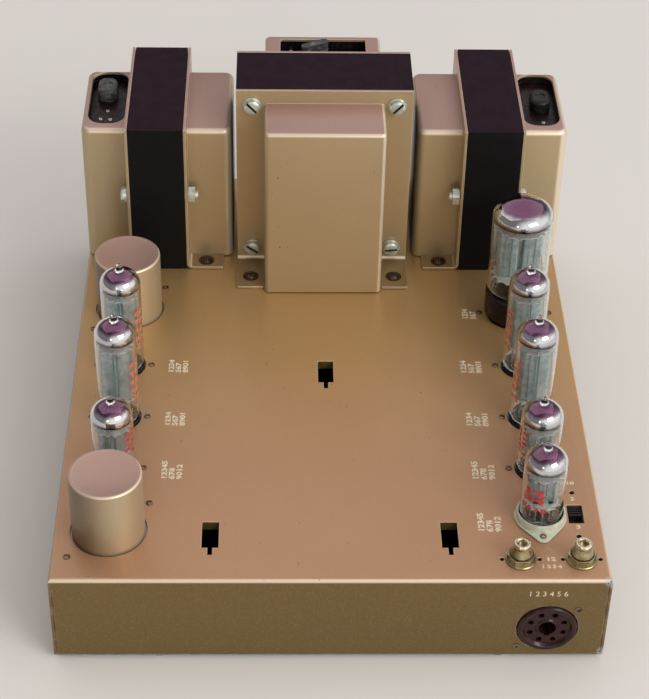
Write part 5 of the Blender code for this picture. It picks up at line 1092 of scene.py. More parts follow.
def numbers(name, text, size, place, turn=0.0, finish=CREAM_INK, body="amplifier", stroke=0.0, slices=1):
    """Plain digits fitted into a rectangle and laid on a surface."""
    curve = bpy.data.curves.new(name, "FONT")
    curve.body = text
    curve.extrude = PAINT_RISE / 2
    curve.offset = stroke
    curve.resolution_u = DIGIT_STEPS
    item = bpy.data.objects.new(name, curve)
    bpy.context.scene.collection.objects.link(item)
    mesh = evaluated(item)
    bpy.data.objects.remove(item)
    mesh.transform(Matrix.Rotation(turn, 4, "Z"))
    bm = bmesh.new()
    bm.from_mesh(mesh)
    bmesh.ops.remove_doubles(bm, verts=bm.verts, dist=MERGE)
    lows = [min(v.co[i] for v in bm.verts) for i in (0, 1)]
    spans = [max(v.co[i] for v in bm.verts) - lows[i] for i in (0, 1)]
    for cut in range(1, slices):
        spot = (lows[0] + spans[0] * cut / slices, 0.0, 0.0)
        whole = bm.verts[:] + bm.edges[:] + bm.faces[:]
        bmesh.ops.bisect_plane(bm, geom=whole, dist=MERGE, plane_co=spot, plane_no=(1, 0, 0))
    for v in bm.verts:
        across, up = [((v.co[i] - lows[i]) / spans[i] - 0.5) * size[i] for i in (0, 1)]
        v.co = place(across, up, v.co.z + PAINT_RISE / 4)
    bm.to_mesh(mesh)
    bm.free()
    mesh.materials.clear()
    mesh.materials.append(finish)
    put(name, mesh, body)


def glass_print(name, valve, text, mark, turn, side, finish):
    """Digits around a valve, from their width, height and rise above its seat."""
    width, height, rise = mark
    low, _, centre = span(valve + "_glass")
    place = on_glass(centre, low.z + rise, side)
    numbers(name, text, (width, height), place, turn, finish, valve, GLASS_STROKE_SHARE, GLASS_SLICES)


def make_numbers():
    """Plain numbers where the tray, the strip and the valves are marked."""
    for marks, turn in ((LABEL_MARKS, math.pi / 2), (PLAIN_MARKS, 0.0)):
        for name, text, width, height, x, distance in marks:
            numbers(name, text, (width, height), on_top(x, FRONT + distance), turn, stroke=STROKE_SHARE)
    width, height, x, z = OUTLET_MARK
    numbers("outlet_numbers", "1 2 3 4 5 6", (width, height), on_face(x, CHASSIS_LOW.z + z, FRONT, -1))
    width, height, rise = STRIP_MARK
    centre = middle("speaker_terminal_strip")
    place = on_face(centre.x, centre.z + rise, strip_back() + STRIP[2], 1)
    numbers("strip_numbers", "1   2   3   4   5   6", (width, height), place)
    for valve in LEFT_NOVALS + RIGHT_NOVALS:
        mark, finish = (TRIODE_MARK, RED_INK) if "triode" in valve else (PENTODE_MARK, SALMON_INK)
        side = LEFT_MARK_TURN if valve in LEFT_NOVALS else RIGHT_MARK_TURN
        glass_print(valve + "_print", valve, "1 2 3 4 5\n6 7 8 9 0", mark, math.pi / 2, side, finish)
    for word, text, mark in FRONT_MARKS:
        name = f"front_triode_{word}_print"
        glass_print(name, "front_triode", text, mark, 0.0, FRONT_MARK_TURN, RED_INK)


# Valves

def noval_bulb(height):
    """A sealed glass envelope with its pip, inner skin included."""
    neck = height - PIP_RISE
    shoulder = neck - NOVAL_DOME
    outer = scaled(PIP_SHARES, PIP_RADIUS, PIP_RISE, neck)
    outer += dome(NOVAL_RADIUS, NOVAL_DOME, shoulder, PIP_FLARE * PIP_RADIUS)
    outer += arc((NOVAL_RADIUS - NOVAL_HEEL, NOVAL_HEEL), NOVAL_HEEL, 0.0, -math.pi / 2) + [(0.0, GAP)]
    inside, heel = NOVAL_RADIUS - NOVAL_WALL, NOVAL_HEEL - NOVAL_WALL
    inner = dome(inside, NOVAL_DOME - NOVAL_WALL, shoulder, 0.0)
    inner += arc((inside - heel, NOVAL_BUTTON + heel), heel, 0.0, -math.pi / 2) + [(0.0, NOVAL_BUTTON)]
    return Shape().turned(outer, FINE).turned(inner, FINE, inward=True)


def film(radius, height, shoulder, drops, eye, at=None):
    """A thin film inside a dome, open around the pip and wavy at its lower rim."""
    profile = dome(radius, height, shoulder, eye, FILM_STEPS) + [(radius, shoulder - drop) for drop in drops]
    inner = [(across - FILM, along - FILM) for across, along in profile]
    shape = Shape(at).turned(profile + inner[::-1], FINE, looped=True)
    low = shoulder - drops[0] - MERGE
    for v in shape.bm.verts:
        if v.co.z < low:
            turn = math.atan2(v.co.y, v.co.x)
            waves = [share * math.sin(count * turn + start) for share, count, start in FRINGE_WAVES]
            v.co.z += FRINGE * sum(waves)
    return shape


def anode(size, centre=0.0):
    """The outline of a pressed sheet box with wings, a slit and a step."""
    half, fore, low = size[0] / 2, size[1] / 2, size[1] / 2 - ANODE_STEP / 2
    radius = min(ANODE_CORNER, ANODE_CORNER_SHARE * half)
    step = half - 2 * radius
    quarter = [(ANODE_SLIT, fore - ANODE_STEP), (ANODE_SLIT, fore), (step, fore), (step, low)]
    quarter += arc((half - radius, low - radius), radius, math.pi / 2, 0.0)
    quarter += [(half, ANODE_WING / 2), (half + ANODE_WING, ANODE_WING / 2)]
    right = quarter + [(x, -y) for x, y in reversed(quarter)]
    return [(centre + x, y) for x, y in right + [(-x, -y) for x, y in right]]


def add_pins(shape, places, size):
    """Contact pins below a valve."""
    for x, y in places:
        shape.turned(scaled(PIN_SHARES, *size), SMALL, (x, y, 0.0))


def noval_mount(height, size, is_triode):
    """The electrodes on their rods, the getter ring and the pins."""
    shape = Shape()
    top = height - PIP_RISE - NOVAL_DOME - ANODE_MARGIN
    bottom = top - size[2]
    half = size[0] / 2
    boxes = [(size[0], 0.0)]
    if is_triode:
        boxes = [(half - 2 * ANODE_WING, side * half / 2) for side in (-1, 1)]
    for width, centre in boxes:
        shape.prism(anode((width - ROD / 2, *size[1:]), centre), bottom + MICA_SHEET, top)
    for across, back in ROD_SHARES:
        spot = (across * size[0], back * size[1])
        shape.wire([(*spot, NOVAL_BUTTON + ROD), (*spot, top + ROD_RISES[1 if back else 0])], ROD)
    radius, rise = GETTER_RING
    turns = [RING_TURN * step for step in range(RING_STEPS)]
    ring = [(radius * math.cos(a), radius * math.sin(a), top + rise) for a in turns]
    stalk = (ROD_SHARES[1][0] * size[0], 0.0)
    shape.wire([(*stalk, top), (*stalk, top + rise - ROD)] + ring, RING_SHARE * ROD)
    add_pins(shape, NOVAL_PINS, NOVAL_PIN)
    for x, y in NOVAL_PINS:
        head = (LEAD_LEAN_SHARE * x, LEAD_LEAN_SHARE * y, bottom - OVERRUN)
        shape.wire([(x, y, NOVAL_BUTTON), head], LEAD_SHARE * ROD)
    return shape, top, bottom


def mica_discs(top, bottom, radius, count, at=None):
    """Toothed discs below and above the anodes."""
    discs = Shape(at)
    for low in (bottom - MICA_SHEET, top + MICA_RISE):
        discs.prism(pointed(radius, MICA_TOOTH, count), low, low + MICA_SHEET)
    return discs


def noval_meshes(height, size, is_triode):
    """The meshes of one kind of nine-pin valve, with its seat at zero."""
    mount, top, bottom = noval_mount(height, size, is_triode)
    inside, deep = NOVAL_RADIUS - NOVAL_WALL - FILM_GAP, NOVAL_DOME - NOVAL_WALL
    shapes = (
        ("bulb", noval_bulb(height), GLASS),
        ("mount", mount, STEEL),
        ("micas", mica_discs(top, bottom, MICA_RADIUS, MICA_TEETH), MICA),
        ("mirror", film(inside, deep, height - PIP_RISE - NOVAL_DOME, NOVAL_FILM_DROPS, FILM_EYE), MIRROR),
    )
    return {word: sculpt(shape, finish) for word, shape, finish in shapes}


def socket(name, at, finish, top, body, high, shoulder, low, bores):
    """A moulded socket with a wide top, a narrower body and its bores."""
    edge = SOCKET_ROUND
    profile = [
        (0.0, high), (top - edge, high), (top, high - edge), (top, shoulder),
        (body, shoulder), (body, low + edge), (body - edge, low), (0.0, low),
    ]
    holes = Shape(at)
    for diameter, steps, spots in bores:
        for spot in spots:
            holes.prism(circle(diameter, steps, spot), low - OVERRUN, high + OVERRUN)
    piece(name + "_moulding", Shape(at).turned(profile, FINE), finish, cuts=[holes], replaces=(name,))


def saddle_plate(name, at, outline, bore, low, axis="z", soften=0.0):
    """A plated saddle around a socket."""
    plate = Shape(at).prism(outline, low, low + SADDLE_SHEET, axis)
    hole = Shape(at).prism(circle(bore, FINE), low - OVERRUN, low + OVERRUN, axis)
    piece(name + "_saddle", plate, SADDLE_PLATE, cuts=[hole], soften=soften)


def noval_socket(name, centre, is_raised):
    """A nine-pin socket with its plated saddle, under the sheet or raised on it."""
    at = Matrix.Translation((centre.x, centre.y, TOP))
    stand = FRONT_SOCKET_STAND if is_raised else SOCKET_STAND
    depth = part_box(name)[0].z - TOP
    bores = ((SOCKET_BORE, SMALL, [(0.0, 0.0)]), (PIN_BORE, SMALL, NOVAL_PINS))
    socket(name, at, BLACK, SOCKET_TOP, SOCKET_BODY, stand, -SHEET - 2 * GAP, depth, bores)
    low = GAP if is_raised else -SHEET - GAP - SADDLE_SHEET
    outline = saddle(SADDLE, NOVAL_RIVET_REACH, math.pi / 2 if is_raised else 0.0)
    saddle_plate(name, at, outline, SADDLE_BORE, low, "z", THIN_EDGE)
    if is_raised:
        skirt = [(SKIRT_BORE + across, low + GAP + along) for across, along in scaled(SKIRT_SHARES, *SKIRT)]
        piece(name + "_skirt", Shape(at).turned(skirt, FINE, looped=True), SADDLE_PLATE)
        ears = Shape()
        for side in (-1, 1):
            rivet(ears, (centre.x, centre.y + side * NOVAL_RIVET_REACH, TOP + low + SADDLE_SHEET))
        piece(name + "_rivets", ears, RIVET_METAL)


def make_novals():
    """The seven nine-pin valves and their sockets."""
    kinds = {}
    for name in NOVALS:
        low, high, centre = span(name + "_glass")
        is_triode = "triode" in name
        if is_triode not in kinds:
            size = TRIODE_ANODE if is_triode else PENTODE_ANODE
            kinds[is_triode] = noval_meshes(high.z - low.z, size, is_triode)
        for word, mesh in kinds[is_triode].items():
            replaces = {"bulb": (name + "_glass",), "mount": (name + "_electrodes",)}.get(word, ())
            put(f"{name}_{word}", mesh, name, replaces, 0.0, Vector((centre.x, centre.y, low.z)))
        noval_socket(name + "_socket", centre, name == "front_triode")


def make_rectifier():
    """The big rectifier with its base, mount and socket."""
    low, high, centre = span("rectifier_glass")
    socket_low, socket_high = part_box("rectifier_socket")
    seat = socket_high.z + GAP
    at = Matrix.Translation((centre.x, centre.y, seat))
    bottom, shoulder = low.z - seat, high.z - seat - RECTIFIER_DOME
    radius, neck, wall = (high.x - low.x) / 2, RECTIFIER_NECK, RECTIFIER_WALL
    heel, rim = radius - neck, RECTIFIER_BASE[1]
    bulb = Shape(at)
    for skin in (0.0, wall):
        profile = dome(radius - skin, RECTIFIER_DOME - skin, shoulder, 0.0)
        profile += arc((neck - skin, rim + GAP + heel), heel, 0.0, -math.pi / 2)
        profile += [(neck - skin, bottom + skin), (0.0, bottom + skin)]
        bulb.turned(profile, FINE, inward=skin > 0)
    piece("rectifier_bulb", bulb, GLASS, "rectifier", replaces=("rectifier_glass",))
    inside = radius - wall - FILM_GAP
    mirror = film(inside, RECTIFIER_DOME - wall, shoulder, RECTIFIER_FILM_DROPS, FILM, at)
    piece("rectifier_mirror", mirror, MIRROR, "rectifier")
    make_rectifier_base(at)
    make_rectifier_mount(at, shoulder, rim - RECTIFIER_RECESS)
    make_octal_socket(at, socket_low.z - seat, -GAP)


def make_rectifier_base(at):
    """The moulded base with its recess, its rounded edges and its key."""
    base, rim = RECTIFIER_BASE
    key, reach = OCTAL_KEY
    floor, wall = rim - RECTIFIER_RECESS, RECTIFIER_NECK
    step, edge = GAP, 2 * SOCKET_ROUND
    profile = [
        (0.0, floor), (wall + step, floor), (wall + step, rim - step), (wall + edge, rim),
        (base - edge, rim), (base, rim - edge), (base, 3 * edge), (base - step, 3 * edge - step),
        (base - step, edge), (base - edge, 0.0), (key, 0.0), (key, edge - reach),
        (KEY_TIP_SHARE * key, -reach), (0.0, -reach),
    ]
    shape = Shape(at).turned(profile, FINE)
    piece("rectifier_base_moulding", shape, DARK_BROWN, "rectifier", replaces=("rectifier_base",))


def make_rectifier_mount(at, shoulder, floor):
    """Two plates between mica discs, on rods, above the pins."""
    mount = Shape(at)
    top = shoulder - ANODE_MARGIN
    bottom = top - RECTIFIER_ANODE[2]
    for side in (-1, 1):
        mount.prism(anode(RECTIFIER_ANODE, side * RECTIFIER_ANODE_SPREAD), bottom + MICA_SHEET, top)
        for x in (RECTIFIER_ROD_REACH, RECTIFIER_ANODE_SPREAD):
            mount.wire([(side * x, 0.0, floor + ANODE_MARGIN), (side * x, 0.0, top + ROD_RISES[0])], ROD)
    add_pins(mount, OCTAL_PINS, OCTAL_PIN)
    piece("rectifier_mount", mount, STEEL, "rectifier")
    micas = mica_discs(top, bottom, RECTIFIER_MICA, RECTIFIER_MICA_TEETH, at)
    piece("rectifier_micas", micas, MICA, "rectifier")


def make_octal_socket(at, low, high):
    """The rectifier's moulded socket in its saddle."""
    name, shoulder = "rectifier_socket", -OCTAL_SHOULDER
    bores = ((OCTAL_KEY_BORE, ROUND, [(0.0, 0.0)]), (OCTAL_PIN_BORE, SMALL, OCTAL_PINS))
    socket(name, at, BROWN, OCTAL_TOP, OCTAL_BODY, high, shoulder, low, bores)
    outline = saddle(OCTAL_SADDLE, OCTAL_RIVET_REACH)
    saddle_plate(name, at, outline, OCTAL_SADDLE_BORE, shoulder - SADDLE_SHEET)


# Cans and phono sockets

def make_cans():
    """Drawn capacitor cans with a plate under the sheet."""
    corner, sheet = CAN_PLATE
    seat, inner = UNDERSIDE - GAP, CAN_RADIUS - CAN_ROUND
    for name in CANS:
        low, high, centre = span(name)
        top, side = high.z, high.x - low.x
        profile = [(0.0, top - CAN_SINK), (inner - CAN_LIP, top - CAN_SINK)]
        profile += [(inner - CAN_LIP / 2, top - CAN_SINK / 3)]
        profile += arc((inner, top - CAN_ROUND), CAN_ROUND, math.pi / 2, 0.0)
        profile += [(CAN_RADIUS, low.z + CAN_ROUND), (inner, low.z), (0.0, low.z)]
        plate = Shape().prism(rounded(side, side, corner, centre.xy), seat - sheet, seat)
        can = Shape().turned(profile, 2 * FINE, (centre.x, centre.y, 0.0))
        piece(name + "_shell", can, CAN_PAINT, adds=[plate], replaces=(name,))


def make_phonos():
    """Plated phono sockets: a lipped barrel, a nut and washers, a bush and a contact."""
    for name in PHONOS:
        low, high, centre = span(name)
        at = Matrix.Translation((centre.x, centre.y, TOP))
        rise, drop = high.z - TOP, low.z - TOP
        barrel = scaled(BARREL_SHARES, PHONO_BARREL, PHONO_DEPTH, rise)
        barrel += [(barrel[-1][0], GAP), (0.0, GAP)]
        piece(name + "_barrel", Shape(at).turned(barrel, FINE), CREAM_PLATE, replaces=(name,))
        # A thin black ring on the nut under the barrel: painted shadow.
        piece(name + "_shadow_ring", Shape(at).turned(scaled(COLLAR_SHARES, *PHONO_SHADOW_RING), FINE), BLACK)
        piece(name + "_sleeve", Shape(at).turned(scaled(SLEEVE_SHARES, *PHONO_SLEEVE), FINE), BRASS)
        across, nut_low, nut_high = PHONO_NUT
        piece(name + "_nut", Shape(at).prism(hexagon(across), nut_low, nut_high), BRASS, soften=SOFT_EDGE)
        radius, sheet = PHONO_WASHER
        under = -SHEET - GAP
        washer = [
            (0.0, sheet), (radius - GAP, sheet), (radius, sheet - GAP), (radius, GAP), (PHONO_BUSH, GAP),
            (PHONO_BUSH, under), (radius, under), (radius, under - sheet), (PHONO_BARREL, under - sheet),
            (PHONO_BARREL, drop), (0.0, drop),
        ]
        piece(name + "_washer", Shape(at).turned(washer, FINE), BRASS)
        base = rise - PHONO_DEPTH + PHONO_INSERT[1] / 4
        piece(name + "_insert", Shape(at).turned(scaled(INSERT_SHARES, *PHONO_INSERT, base), ROUND), BLACK)
        contact = Shape(at).turned(scaled(CONTACT_SHARES, *PHONO_CONTACT, base), ROUND, looped=True)
        piece(name + "_contact", contact, CREAM_PLATE)


# Switch and outlet

def make_switch():
    """The switch frame under the sheet and its screws."""
    low, high, centre = span("slide_switch_body")
    sheet, corner = SWITCH_FRAME
    outline = rounded(high.x - low.x, high.y - low.y, corner, centre.xy)
    plate = Shape().prism(outline, high.z - sheet, high.z)
    case = Shape().prism(rectangle(*SWITCH_CASE, centre.xy), low.z, high.z - sheet / 2)
    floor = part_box("slide_switch_slider")[0].z - GAP
    track = Shape().prism(rectangle(SWITCH_TRACK, SWITCH_SLOT[1], centre.xy), floor, high.z + OVERRUN)
    screws = Shape()
    for side in (-1, 1):
        spot = (centre.x, centre.y + side * SWITCH_SCREW_REACH)
        track.prism(circle(SWITCH_SCREW_HOLE, SMALL, spot), high.z - OVERRUN, high.z + OVERRUN)
        screws.turned(scaled(HEAD_SHARES, *SWITCH_SCREW), SMALL, (*spot, high.z - SWITCH_SCREW[1]))
    piece("switch_frame", plate, RUSTY, adds=[case], cuts=[track], replaces=("slide_switch_body",))
    piece("switch_screws", screws, BLACK)


def make_slider():
    """The switch's slider with its ribbed top."""
    node = "slide_switch_slider"
    low, high, centre = span(node)
    width, depth, pitch = SLIDER_RIB
    grooves = Shape()
    for groove in (-1, 0, 1):
        y = centre.y + groove * pitch
        near = (low.x - OVERRUN, y - width / 2, high.z - depth)
        grooves.block(near, (high.x + OVERRUN, y + width / 2, high.z + OVERRUN))
    slider = Shape().block(low, high)
    piece("switch_slider_knob", slider, BLACK, "switch_slider", (), [grooves], (node,), THIN_EDGE)


def make_outlet():
    """The moulded outlet with a raised rim, a raised middle and lined contact holes."""
    node = "front_outlet_socket"
    low, high, centre = span(node)
    at = Matrix.Translation((centre.x, FRONT, centre.z))
    proud, depth = low.y - FRONT, high.y - FRONT
    floor, near, far = proud + OUTLET_DISH, proud - OVERRUN, depth + OVERRUN
    boss, rise = OUTLET_BOSS
    body, shoulder = OUTLET_BODY
    profile = [(0.0, floor - rise), (boss - rise, floor - rise), (boss, floor)]
    profile += scaled(OUTLET_SHARES, OUTLET_RADIUS, OUTLET_DISH, proud)
    profile += [(OUTLET_RADIUS, shoulder), (body, shoulder), (body, depth), (0.0, depth)]
    holes = Shape(at).prism(circle(OUTLET_KEY_HOLE, ROUND), near, far, "y")
    keyway = rectangle(OUTLET_KEYWAY, OUTLET_KEYWAY, (0.0, -OUTLET_KEY_HOLE / 2))
    notch = Shape(at).prism(keyway, near, far, "y")
    sleeves = Shape(at)
    diameter, end = OUTLET_HOLE
    radius, length, setback = OUTLET_SLEEVE
    lining = scaled(CONTACT_SHARES, radius, -length, setback + length)
    for x, z in OCTAL_PINS:
        holes.prism(circle(diameter, SMALL, (x, z)), near, end, "y")
        sleeves.turned(lining, SMALL, (x, 0.0, z), "y", looped=True)
    shell = Shape(at).turned(profile, FINE, axis="y")
    piece("outlet_moulding", shell, BROWN, "amplifier", (), [holes, notch], (node,), THIN_EDGE)
    piece("outlet_contacts", sleeves, BRASS)
    outline = saddle(OCTAL_SADDLE, OCTAL_RIVET_REACH, OUTLET_EAR_ANGLE)
    saddle_plate("outlet", at, outline, OCTAL_SADDLE_BORE, OUTLET_SADDLE_LOW, "y")


# Transformers

class Unit:
    """One transformer's sizes and place, read from its core and covers in the frame."""

    def __init__(self, word, cover, angle, bell_sizes, foot):
        low, high, centre = span(word + "_core")
        size = high - low
        self.centre = Vector((centre.x, centre.y, low.z))
        self.word = word
        self.angle = angle
        self.height = size.z
        across = abs(math.sin(angle)) > 0.5
        self.width, self.stack = (size.y, size.x) if across else (size.x, size.y)
        margin, drop, self.bell_corner, self.bell_round = bell_sizes
        self.bell_width = self.width - 2 * margin
        self.bell_top = self.height - drop
        self.foot_width, self.foot_reach = foot
        self.face = self.stack / 2 + GAP
        self.wall = self.face + PLATE
        axis = 0 if across else 1
        reach = max(abs(corner[axis] - self.centre[axis]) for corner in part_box(cover))
        self.bell_depth = reach - self.wall

    def at(self, turn=0.0):
        """The matrix from this unit's own axes, turned, into the frame's."""
        return Matrix.Translation(self.centre) @ Matrix.Rotation(self.angle + turn, 4, "Z")

    def local(self, node):
        """The middle of a node in this unit's own axes."""
        return self.at().inverted() @ middle(node)


def bell(unit, at, inset, base, back):
    """A box with rounded edges, standing out of the end plate towards -Y."""
    half = unit.bell_width / 2 - inset
    front = -unit.wall - unit.bell_depth + inset
    top = unit.bell_top - inset
    shape = Shape(at).block((-half, front, base), (half, back, top))
    shape.bevel(
        lambda a, b: max(a.y, b.y) < front + MERGE and abs(a.x - b.x) < MERGE,
        unit.bell_corner - inset,
    )
    return shape.bevel(
        lambda a, b: min(a.z, b.z) > top - MERGE and min(a.y, b.y) < back - MERGE,
        unit.bell_round - inset,
    )


def folded_plate(unit, at):
    """The end plate, its sheet folded out into a foot at each lower corner."""
    half, notch = unit.width / 2, unit.width / 2 - unit.foot_width
    toe, hinge = -unit.wall - unit.foot_reach, (-unit.wall - FOOT_BEND, PLATE + FOOT_BEND)
    paths = []
    for y, radius, under in ((-unit.face, PLATE + FOOT_BEND, 0.0), (-unit.wall, FOOT_BEND, PLATE)):
        paths.append([(y, unit.height)] + arc(hinge, radius, 0.0, -math.pi / 2) + [(toe, under)])
    columns, last = (-half, -notch, notch, half), len(paths[0]) - 1
    shape = Shape(at)
    grid = [[[shape.bm.verts.new((x, *spot)) for spot in path] for path in paths] for x in columns]
    cells = {(column, row) for column in (0, 1, 2) for row in range(last) if column != 1 or row == 0}
    for i, j in cells:
        (near_in, near_out), (far_in, far_out) = grid[i], grid[i + 1]
        faces = [(a[j], a[j + 1], b[j + 1], b[j]) for a, b in zip(grid[i], grid[i + 1])]
        for step, inner, outer in ((-1, near_in, near_out), (1, far_in, far_out)):
            if (i + step, j) not in cells:
                faces.append((inner[j], inner[j + 1], outer[j + 1], outer[j]))
        for step, row in ((-1, j), (1, j + 1)):
            if (i, j + step) not in cells:
                faces.append((near_in[row], near_out[row], far_out[row], far_in[row]))
        for face in faces:
            shape.bm.faces.new(face)
    bm = shape.bm
    bmesh.ops.delete(bm, geom=[v for v in bm.verts if not v.link_faces], context="VERTS")
    bmesh.ops.recalc_face_normals(bm, faces=bm.faces)
    shape.bevel(lambda a, b: max(a.y, b.y) < toe + MERGE and abs(a.z - b.z) > MERGE, FOOT_CORNER)
    return shape


def bolt_places(unit, names):
    """Bolt centres across and above a unit's own origin."""
    return [(unit.local(name).x, middle(name).z - unit.centre.z) for name in names]


def make_cover(name, unit, turn, bolts, opening=None):
    """An end plate with its hollow bell and folded feet, its holes and any top opening."""
    at = unit.at(turn)
    shell = bell(unit, at, 0.0, GAP, -unit.face - PLATE / 2)
    hollow = bell(unit, at, BELL_WALL, -OVERRUN, -unit.face + OVERRUN)
    holes = Shape(at)
    mirror = -1 if turn else 1
    for x, z in bolts:
        outline = circle(2 * (BOLT_RADIUS + BOLT_CLEARANCE), ROUND, (mirror * x, z))
        holes.prism(outline, -unit.wall - OVERRUN, -unit.face + OVERRUN, "y")
    cuts = [hollow, holes]
    if opening:
        low = unit.bell_top - BELL_WALL - unit.bell_corner
        cuts.append(Shape(at).prism(opening, low, unit.bell_top + OVERRUN))
    plate = folded_plate(unit, at)
    piece(name + "_shell", plate, COVER_PAINT, adds=[shell], cuts=cuts, replaces=(name,), soften=SOFT_EDGE)
    screws, stains, slots = Shape(at), Shape(at), Shape(at)
    y = -unit.wall - unit.foot_reach + FOOT_SCREW_SETBACK
    for side in (-1, 1):
        spot = (side * (unit.width - unit.foot_width) / 2, y, PLATE)
        stains.turned(scaled(COLLAR_SHARES, *FOOT_STAIN), ROUND, spot)
        slotted_head(screws, slots, spot, *FOOT_SCREW)
    piece(name + "_foot_screws", screws, RUSTY, cuts=[slots])
    piece(name + "_foot_stains", stains, RUSTY)


def make_shade_sheet(name, unit, turn, panel):
    """A black sheet between a selector panel and the bell's top: painted shade inside the bell."""
    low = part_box(panel)[1].z - unit.centre.z + GAP
    inset = BELL_WALL + GAP
    width, depth = unit.bell_width - 2 * inset, unit.bell_depth - inset
    centre = (0.0, -unit.wall - unit.bell_depth / 2 + inset / 2)
    top = unit.bell_top - BELL_WALL - GAP
    corner, sheet = SHADE_SHEET
    at = unit.at(turn)
    # A black sheet around the inside of the bell: painted shade.
    painted_shade = Shape(at).prism(rounded(width, depth, corner, centre), low, top)
    inside = rounded(width - 2 * sheet, depth - 2 * sheet, corner - sheet, centre)
    hole = Shape(at).prism(inside, low - OVERRUN, top + OVERRUN)
    piece(name + "_shade_sheet", painted_shade, BLACK, cuts=[hole])


def make_core(unit, bolts):
    """The lamination stack."""
    half, yoke, reach = unit.width / 2, unit.height * YOKE_SHARE, unit.stack / 2 + OVERRUN
    stack = Shape(unit.at()).block((-half, -unit.stack / 2, 0.0), (half, unit.stack / 2, unit.height))
    openings = Shape(unit.at())
    for side in (-1, 1):
        centre = (0.0, unit.height / 2 + side * 1.5 * yoke)
        openings.prism(rectangle(unit.width - 2 * yoke, yoke, centre), -reach, reach, "y")
    for spot in bolts:
        openings.prism(circle(2 * (BOLT_RADIUS + BOLT_CLEARANCE), ROUND, spot), -reach, reach, "y")
    node = unit.word + "_core"
    piece(node + "_laminations", stack, LACQUER, cuts=[openings], replaces=(node,), soften=SOFT_EDGE)


def make_bolt(name, unit, place, slant):
    """A slotted bolt with its washer, and a nut at the back."""
    x, z = place
    at = unit.at() @ Matrix.Translation((x, 0.0, z)) @ Matrix.Rotation(slant, 4, "Y")
    seat = unit.wall + GAP
    radius, rise = BOLT_HEAD
    across, thick = NUT
    end, edge = BOLT_END
    tail = seat + thick + end
    profile = scaled(BOLT_HEAD_SHARES, radius, -rise, -seat)
    profile += [(BOLT_RADIUS, -seat), (BOLT_RADIUS, tail - edge), (BOLT_RADIUS - edge, tail), (0.0, tail)]
    nut = Shape(at).prism(hexagon(across), seat, seat + thick, "y")
    half, depth = BOLT_SLOT
    top = -seat - rise
    slot = Shape(at).block((-2 * radius, top - OVERRUN, -half), (2 * radius, top + depth, half))
    bolt = Shape(at).turned(profile, ROUND, axis="y")
    piece(name + "_screw", bolt, ZINC, adds=[nut], cuts=[slot], replaces=(name,), soften=THIN_EDGE)
    # A black block low in the slot: painted shade.
    reach = radius - depth / 2
    slot_shade = Shape(at).block((-reach, top + depth - BOLT_SLOT_SHADE, -half), (reach, top + depth + GAP, half))
    piece(name + "_slot_shade", slot_shade, BLACK)


def make_mains():
    """The mains transformer."""
    unit = Unit("mains", "mains_front_cover", 0.0, MAINS_BELL, MAINS_FOOT)
    names = ["mains_bolt_" + str(number) for number in (1, 2, 3, 4)]
    bolts = bolt_places(unit, names)
    make_core(unit, bolts)
    make_cover("mains_front_cover", unit, 0.0, bolts)
    width, depth, corner = VOLTAGE_OPENING
    opening = rounded(width, depth, corner, (0.0, -unit.wall - VOLTAGE_RIM - depth / 2))
    make_cover("mains_rear_cover", unit, math.pi, bolts, opening)
    make_shade_sheet("mains_rear_cover", unit, math.pi, "voltage_selector_panel")
    for name, place, slant in zip(names, bolts, MAINS_SLANTS):
        make_bolt(name, unit, place, slant)


def make_output(word, side):
    """An output transformer, its covers facing the sides."""
    outer = word + "_outer_cover"
    unit = Unit(word + "_output", outer, side * math.pi / 2, OUTPUT_BELL, OUTPUT_FOOT)
    bolts = bolt_places(unit, [word + "_output_bolt"])
    make_core(unit, bolts)
    width, depth, corner = IMPEDANCE_OPENING
    centre = (side * IMPEDANCE_SHIFT, -unit.wall - IMPEDANCE_RIM - depth / 2)
    make_cover(outer, unit, 0.0, bolts, rounded(width, depth, corner, centre))
    make_shade_sheet(outer, unit, 0.0, word + "_impedance_panel")
    make_cover(word + "_inner_cover", unit, math.pi, bolts)
    make_bolt(word + "_output_bolt", unit, bolts[0], OUTPUT_SLANT)


# Selectors

def make_panels():
    """Selector panels with their contacts, plugs and knob."""
    for word, finish in (("left", GREY), ("right", BLACK)):
        plug = middle(word + "_impedance_plug")
        places = [(plug.x + across, plug.y - along) for across, along in PANEL_CONTACTS]
        make_panel(word + "_impedance_panel", places)
        make_plug(word, finish)
    knob = middle("voltage_selector_knob")
    panel = "voltage_selector_panel"
    places = [(knob.x + x * CONTACT_PITCH, knob.y + y * CONTACT_PITCH) for x, y in VOLTAGE_CONTACT_SHARES]
    make_panel(panel, places)
    make_knob()
    width, height, across, back = PANEL_MARK
    place = on_top(knob.x + across, knob.y + back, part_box(panel)[1].z)
    numbers("voltage_numbers", "1 2", (width, height), place)


def make_panel(panel, places):
    """A selector panel with its brass-rimmed contact holes."""
    dress(panel, MAROON)
    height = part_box(panel)[1].z
    outer, inner, rise = CONTACT_RING
    rings, holes = Shape(), Shape()
    profile = [(inner, 0.0), (outer, 0.0), (outer, rise / 2), (outer - rise / 2, rise), (inner, rise)]
    for x, y in places:
        rings.turned(profile, SMALL, (x, y, height), looped=True)
        # Black discs inside the rings: painted shade in the contact holes.
        holes.turned(scaled(COLLAR_SHARES, inner, rise / 4), SMALL, (x, y, height))
    piece(panel + "_contacts", rings, CREAM_PLATE)
    piece(panel + "_holes", holes, BLACK)


